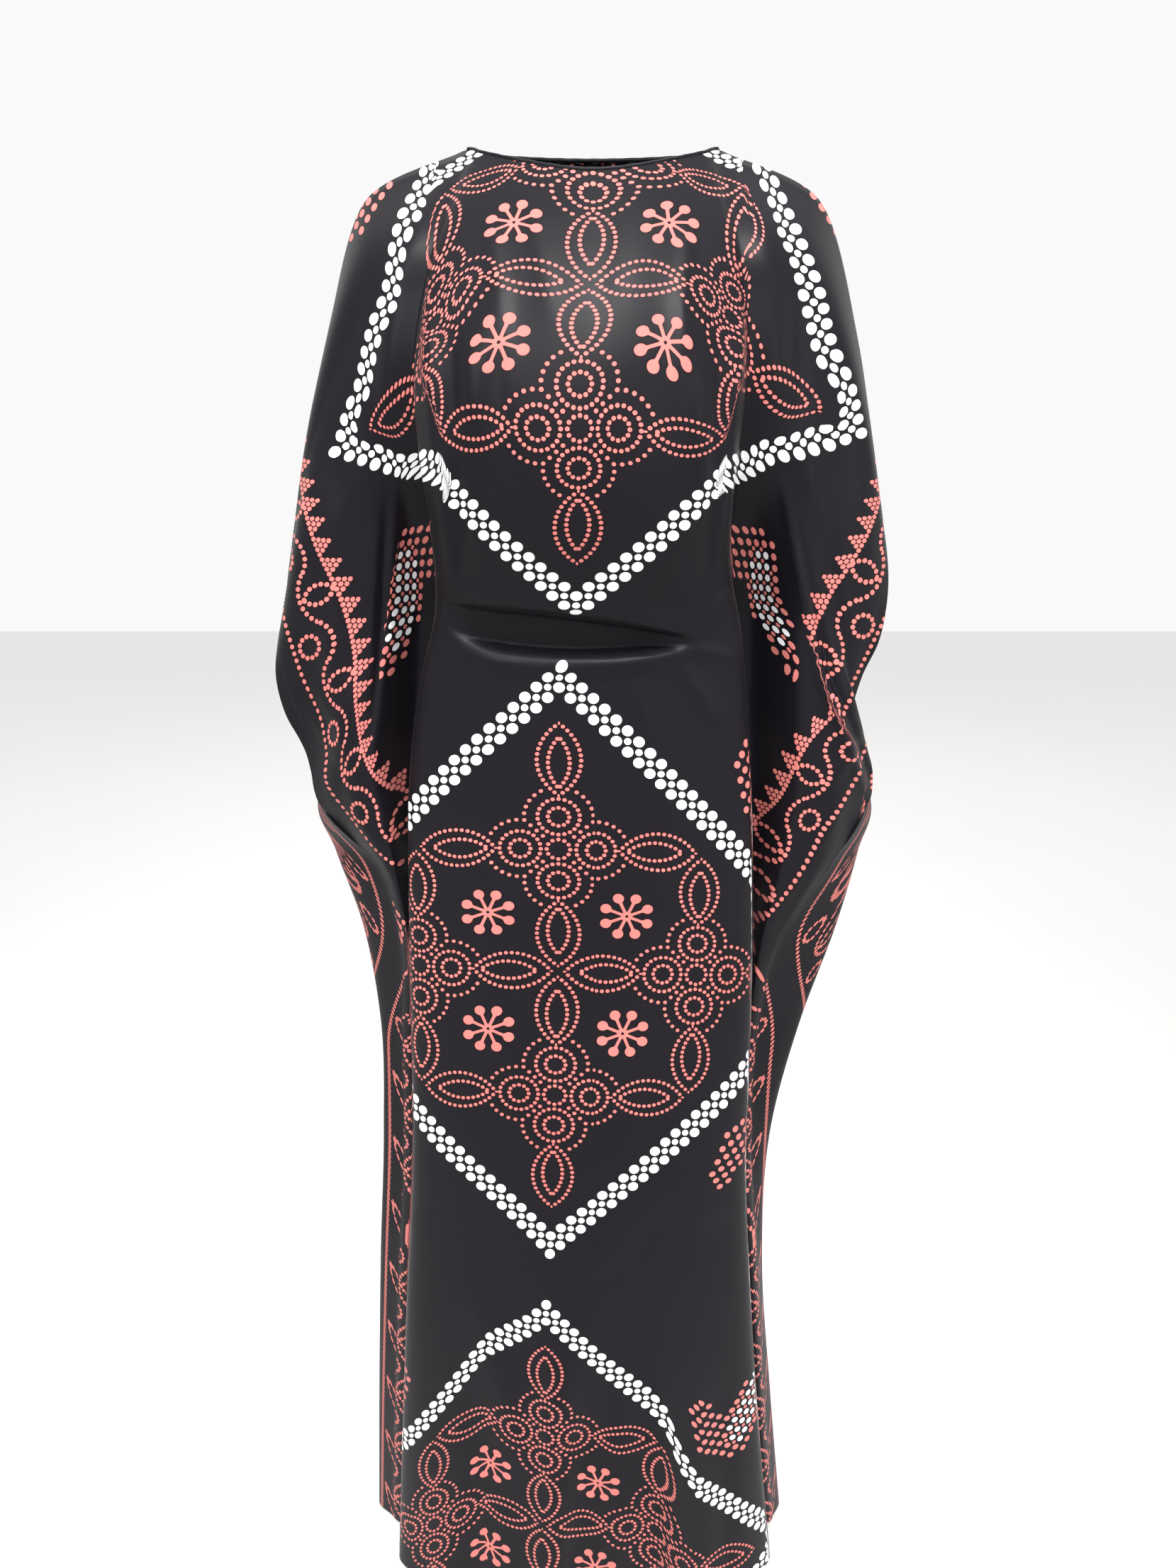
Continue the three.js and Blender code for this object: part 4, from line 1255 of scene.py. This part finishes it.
# %% [markdown]
# ## Stitches
# The side seams, the slit edges, the hem and the neck are sewn with black thread. A stitch is a
# short capsule half sunk in the cloth; one is worked out and copied along each line with array
# arithmetic, a few faces each, because there are many hundreds.

# %% Rows of stitches
STITCH = {"length": 2.6, "pitch": 3.6, "radius": 0.28}


def resample(points, normals, pitch):
    """Places every `pitch` along a line of points, with direction and normal."""
    steps = np.linalg.norm(np.diff(points, axis=0), axis=-1)
    along = np.concatenate([[0], np.cumsum(steps)])
    at = np.arange(pitch, along[-1] - pitch, pitch)

    def read(values):
        return np.stack([np.interp(at, along, values[:, k]) for k in range(3)], -1)

    middle, ahead, normal = read(points), read(np.gradient(points, axis=0)), read(normals)
    ahead /= np.linalg.norm(ahead, axis=-1, keepdims=True)
    normal /= np.linalg.norm(normal, axis=-1, keepdims=True)
    return middle, ahead, normal


def stitch_row(middle, ahead, normal):
    """Copies of one six-sided capsule: two rings of six points and two end points each."""
    side = np.cross(ahead, normal)
    turn = np.linspace(0, 2 * np.pi, 6, endpoint=False)
    ring = (normal[:, None] * np.cos(turn)[None, :, None]
            + side[:, None] * np.sin(turn)[None, :, None]) * STITCH["radius"]
    reach = ahead[:, None] * STITCH["length"] / 2
    points = np.concatenate([middle[:, None] - reach * 0.72 + ring,
                             middle[:, None] + reach * 0.72 + ring,
                             middle[:, None] - reach, middle[:, None] + reach], 1)
    k = np.arange(6)
    n = (k + 1) % 6
    body = np.concatenate([np.stack([k, n, n + 6], -1), np.stack([k, n + 6, k + 6], -1),
                           np.stack([n, k, k * 0 + 12], -1),
                           np.stack([k + 6, n + 6, k * 0 + 13], -1)])
    faces = body[None] + (np.arange(len(middle)) * 14)[:, None, None]
    return points.reshape(-1, 3), faces.reshape(-1, 3)


def grid_line(grid, normals, rows, columns, lift=OUTER):
    """Points and normals of a line of the grid, on its outer face."""
    return grid[rows, columns] + normals[rows, columns] * lift, normals[rows, columns]


last = front_grid.shape[1] - 1
below_slit, above_slit = slice(SLIT_GRID_ROW, None), slice(6, SLIT_GRID_ROW)
neck_columns = slice(MIDDLE_COLUMN - NECK_COLUMN + 2, MIDDLE_COLUMN + NECK_COLUMN - 1)
STITCH_LINES = [
    ("front", below_slit, 2), ("front", below_slit, last - 2), ("front", above_slit, 3),
    ("front", above_slit, last - 3), ("front", -3, slice(None)), ("front", 2, neck_columns),
    ("back", above_slit, 3), ("back", above_slit, last - 3), ("back", -3, slice(None)),
    ("back", 2, neck_columns),
]
sheets = {"front": (front_grid, front_normals), "back": (back_grid, back_normals)}
rows_of_stitches = [stitch_row(*resample(*grid_line(*sheets[name], rows, columns),
                                         STITCH["pitch"]))
                    for name, rows, columns in STITCH_LINES]


def joined(parts):
    """Several arrays of points and faces as one."""
    starts = np.cumsum([0] + [len(points) for points, _ in parts[:-1]])
    return (np.concatenate([points for points, _ in parts]),
            np.concatenate([faces + start for (_, faces), start in zip(parts, starts)]))


def thread_material():
    """Dull black thread, slightly lighter along its twist."""
    material, tree, shader = new_material("sewing_thread")
    wave = tree.nodes.new("ShaderNodeTexWave")
    wave.inputs["Scale"].default_value = 900.0
    wave.inputs["Distortion"].default_value = 2.0
    tree.links.new(tree.nodes.new("ShaderNodeTexCoord").outputs["Object"], wave.inputs["Vector"])
    color = mix_color(tree, wave.outputs["Fac"], (0.006, 0.005, 0.008, 1), (0.022, 0.018, 0.026, 1))
    tree.links.new(color, shader.inputs["Base Color"])
    shader.inputs["Roughness"].default_value = 0.6
    return material


stitch_points, stitch_faces = joined(rows_of_stitches)
stitches = new_piece("seam_stitches", stitch_points * MM, stitch_faces, thread_material())
print("stitches:", len(stitch_faces) // 24)

# %% [markdown]
# ## Floor and light
# A plain pale floor and soft studio light: one broad light from the upper left, a weaker one from
# the right, and an even pale surround.


# %% Floor, lights and surround
def plain_material(name, color, roughness):
    """A matt surface with a very slight mottle."""
    material, tree, shader = new_material(name)
    noise = tree.nodes.new("ShaderNodeTexNoise")
    noise.inputs["Scale"].default_value = 3.0
    tree.links.new(tree.nodes.new("ShaderNodeTexCoord").outputs["Object"], noise.inputs["Vector"])
    lighter = tuple(min(1, channel * 1.03) for channel in color[:3]) + (1,)
    tree.links.new(mix_color(tree, noise.outputs["Fac"], color, lighter),
                   shader.inputs["Base Color"])
    shader.inputs["Roughness"].default_value = roughness
    return material


def add_floor(z, size=6.0):
    """A square floor just under the hem, stretching away behind the dress."""
    corner = np.array([[-size, -size, z], [size, -size, z], [size, size, z], [-size, size, z]])
    return new_piece("floor", corner, [[0, 1, 2, 3]],
                     plain_material("pale_floor", (0.80, 0.79, 0.78, 1), 0.7), False)


def add_light(name, place, aim, size, power, spread):
    """A square area light at `place` turned towards `aim`, its beam `spread` degrees wide."""
    data = bpy.data.lights.new(name, "AREA")
    data.size, data.energy, data.spread = size, power, math.radians(spread)
    light = bpy.data.objects.new(name, data)
    light.location = place
    direction = np.array(aim, float) - np.array(place, float)
    light.rotation_euler = (math.atan2(math.hypot(direction[0], direction[1]), -direction[2]), 0,
                            math.atan2(-direction[0], direction[1]))
    bpy.context.scene.collection.objects.link(light)
    return light


LIGHTS = [
    ("key", (-1.4, -2.6, 1.6), (0, 0, -0.6), 1.8, 50.0, 180.0),
    ("fill", (2.2, -2.0, 0.2), (0, 0, -0.8), 1.6, 18.0, 180.0),
    ("top", (0.15, -1.45, 2.3), (0, -0.08, -0.09), 1.4, 9.0, 24.0),
    ("behind", (0.0, 2.8, 1.4), (0, 0, -0.6), 1.8, 30.0, 180.0),
]
floor = add_floor(cad_box[0][2] - 0.004)
for light in LIGHTS:
    add_light(*light)
world = bpy.data.worlds.new("surround")
world.use_nodes = True
world.node_tree.nodes["Background"].inputs["Color"].default_value = (1.0, 1.0, 1.0, 1)
world.node_tree.nodes["Background"].inputs["Strength"].default_value = 0.95
bpy.context.scene.world = world
print("lights:", len(LIGHTS))

# %% [markdown]
# ## Ride and replace
# Every piece rides on the dress's one body. The two sheets and the rolled edge stand for the three
# solids, which are hidden.

# %% Ride and replace
for piece, node, slot in ((front, "front", "printed_satin"), (back, "back", "printed_satin"),
                          (rolled_edge, "neck_binding", "binding")):
    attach(piece, "root")
    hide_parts(node)
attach(stitches, "root")
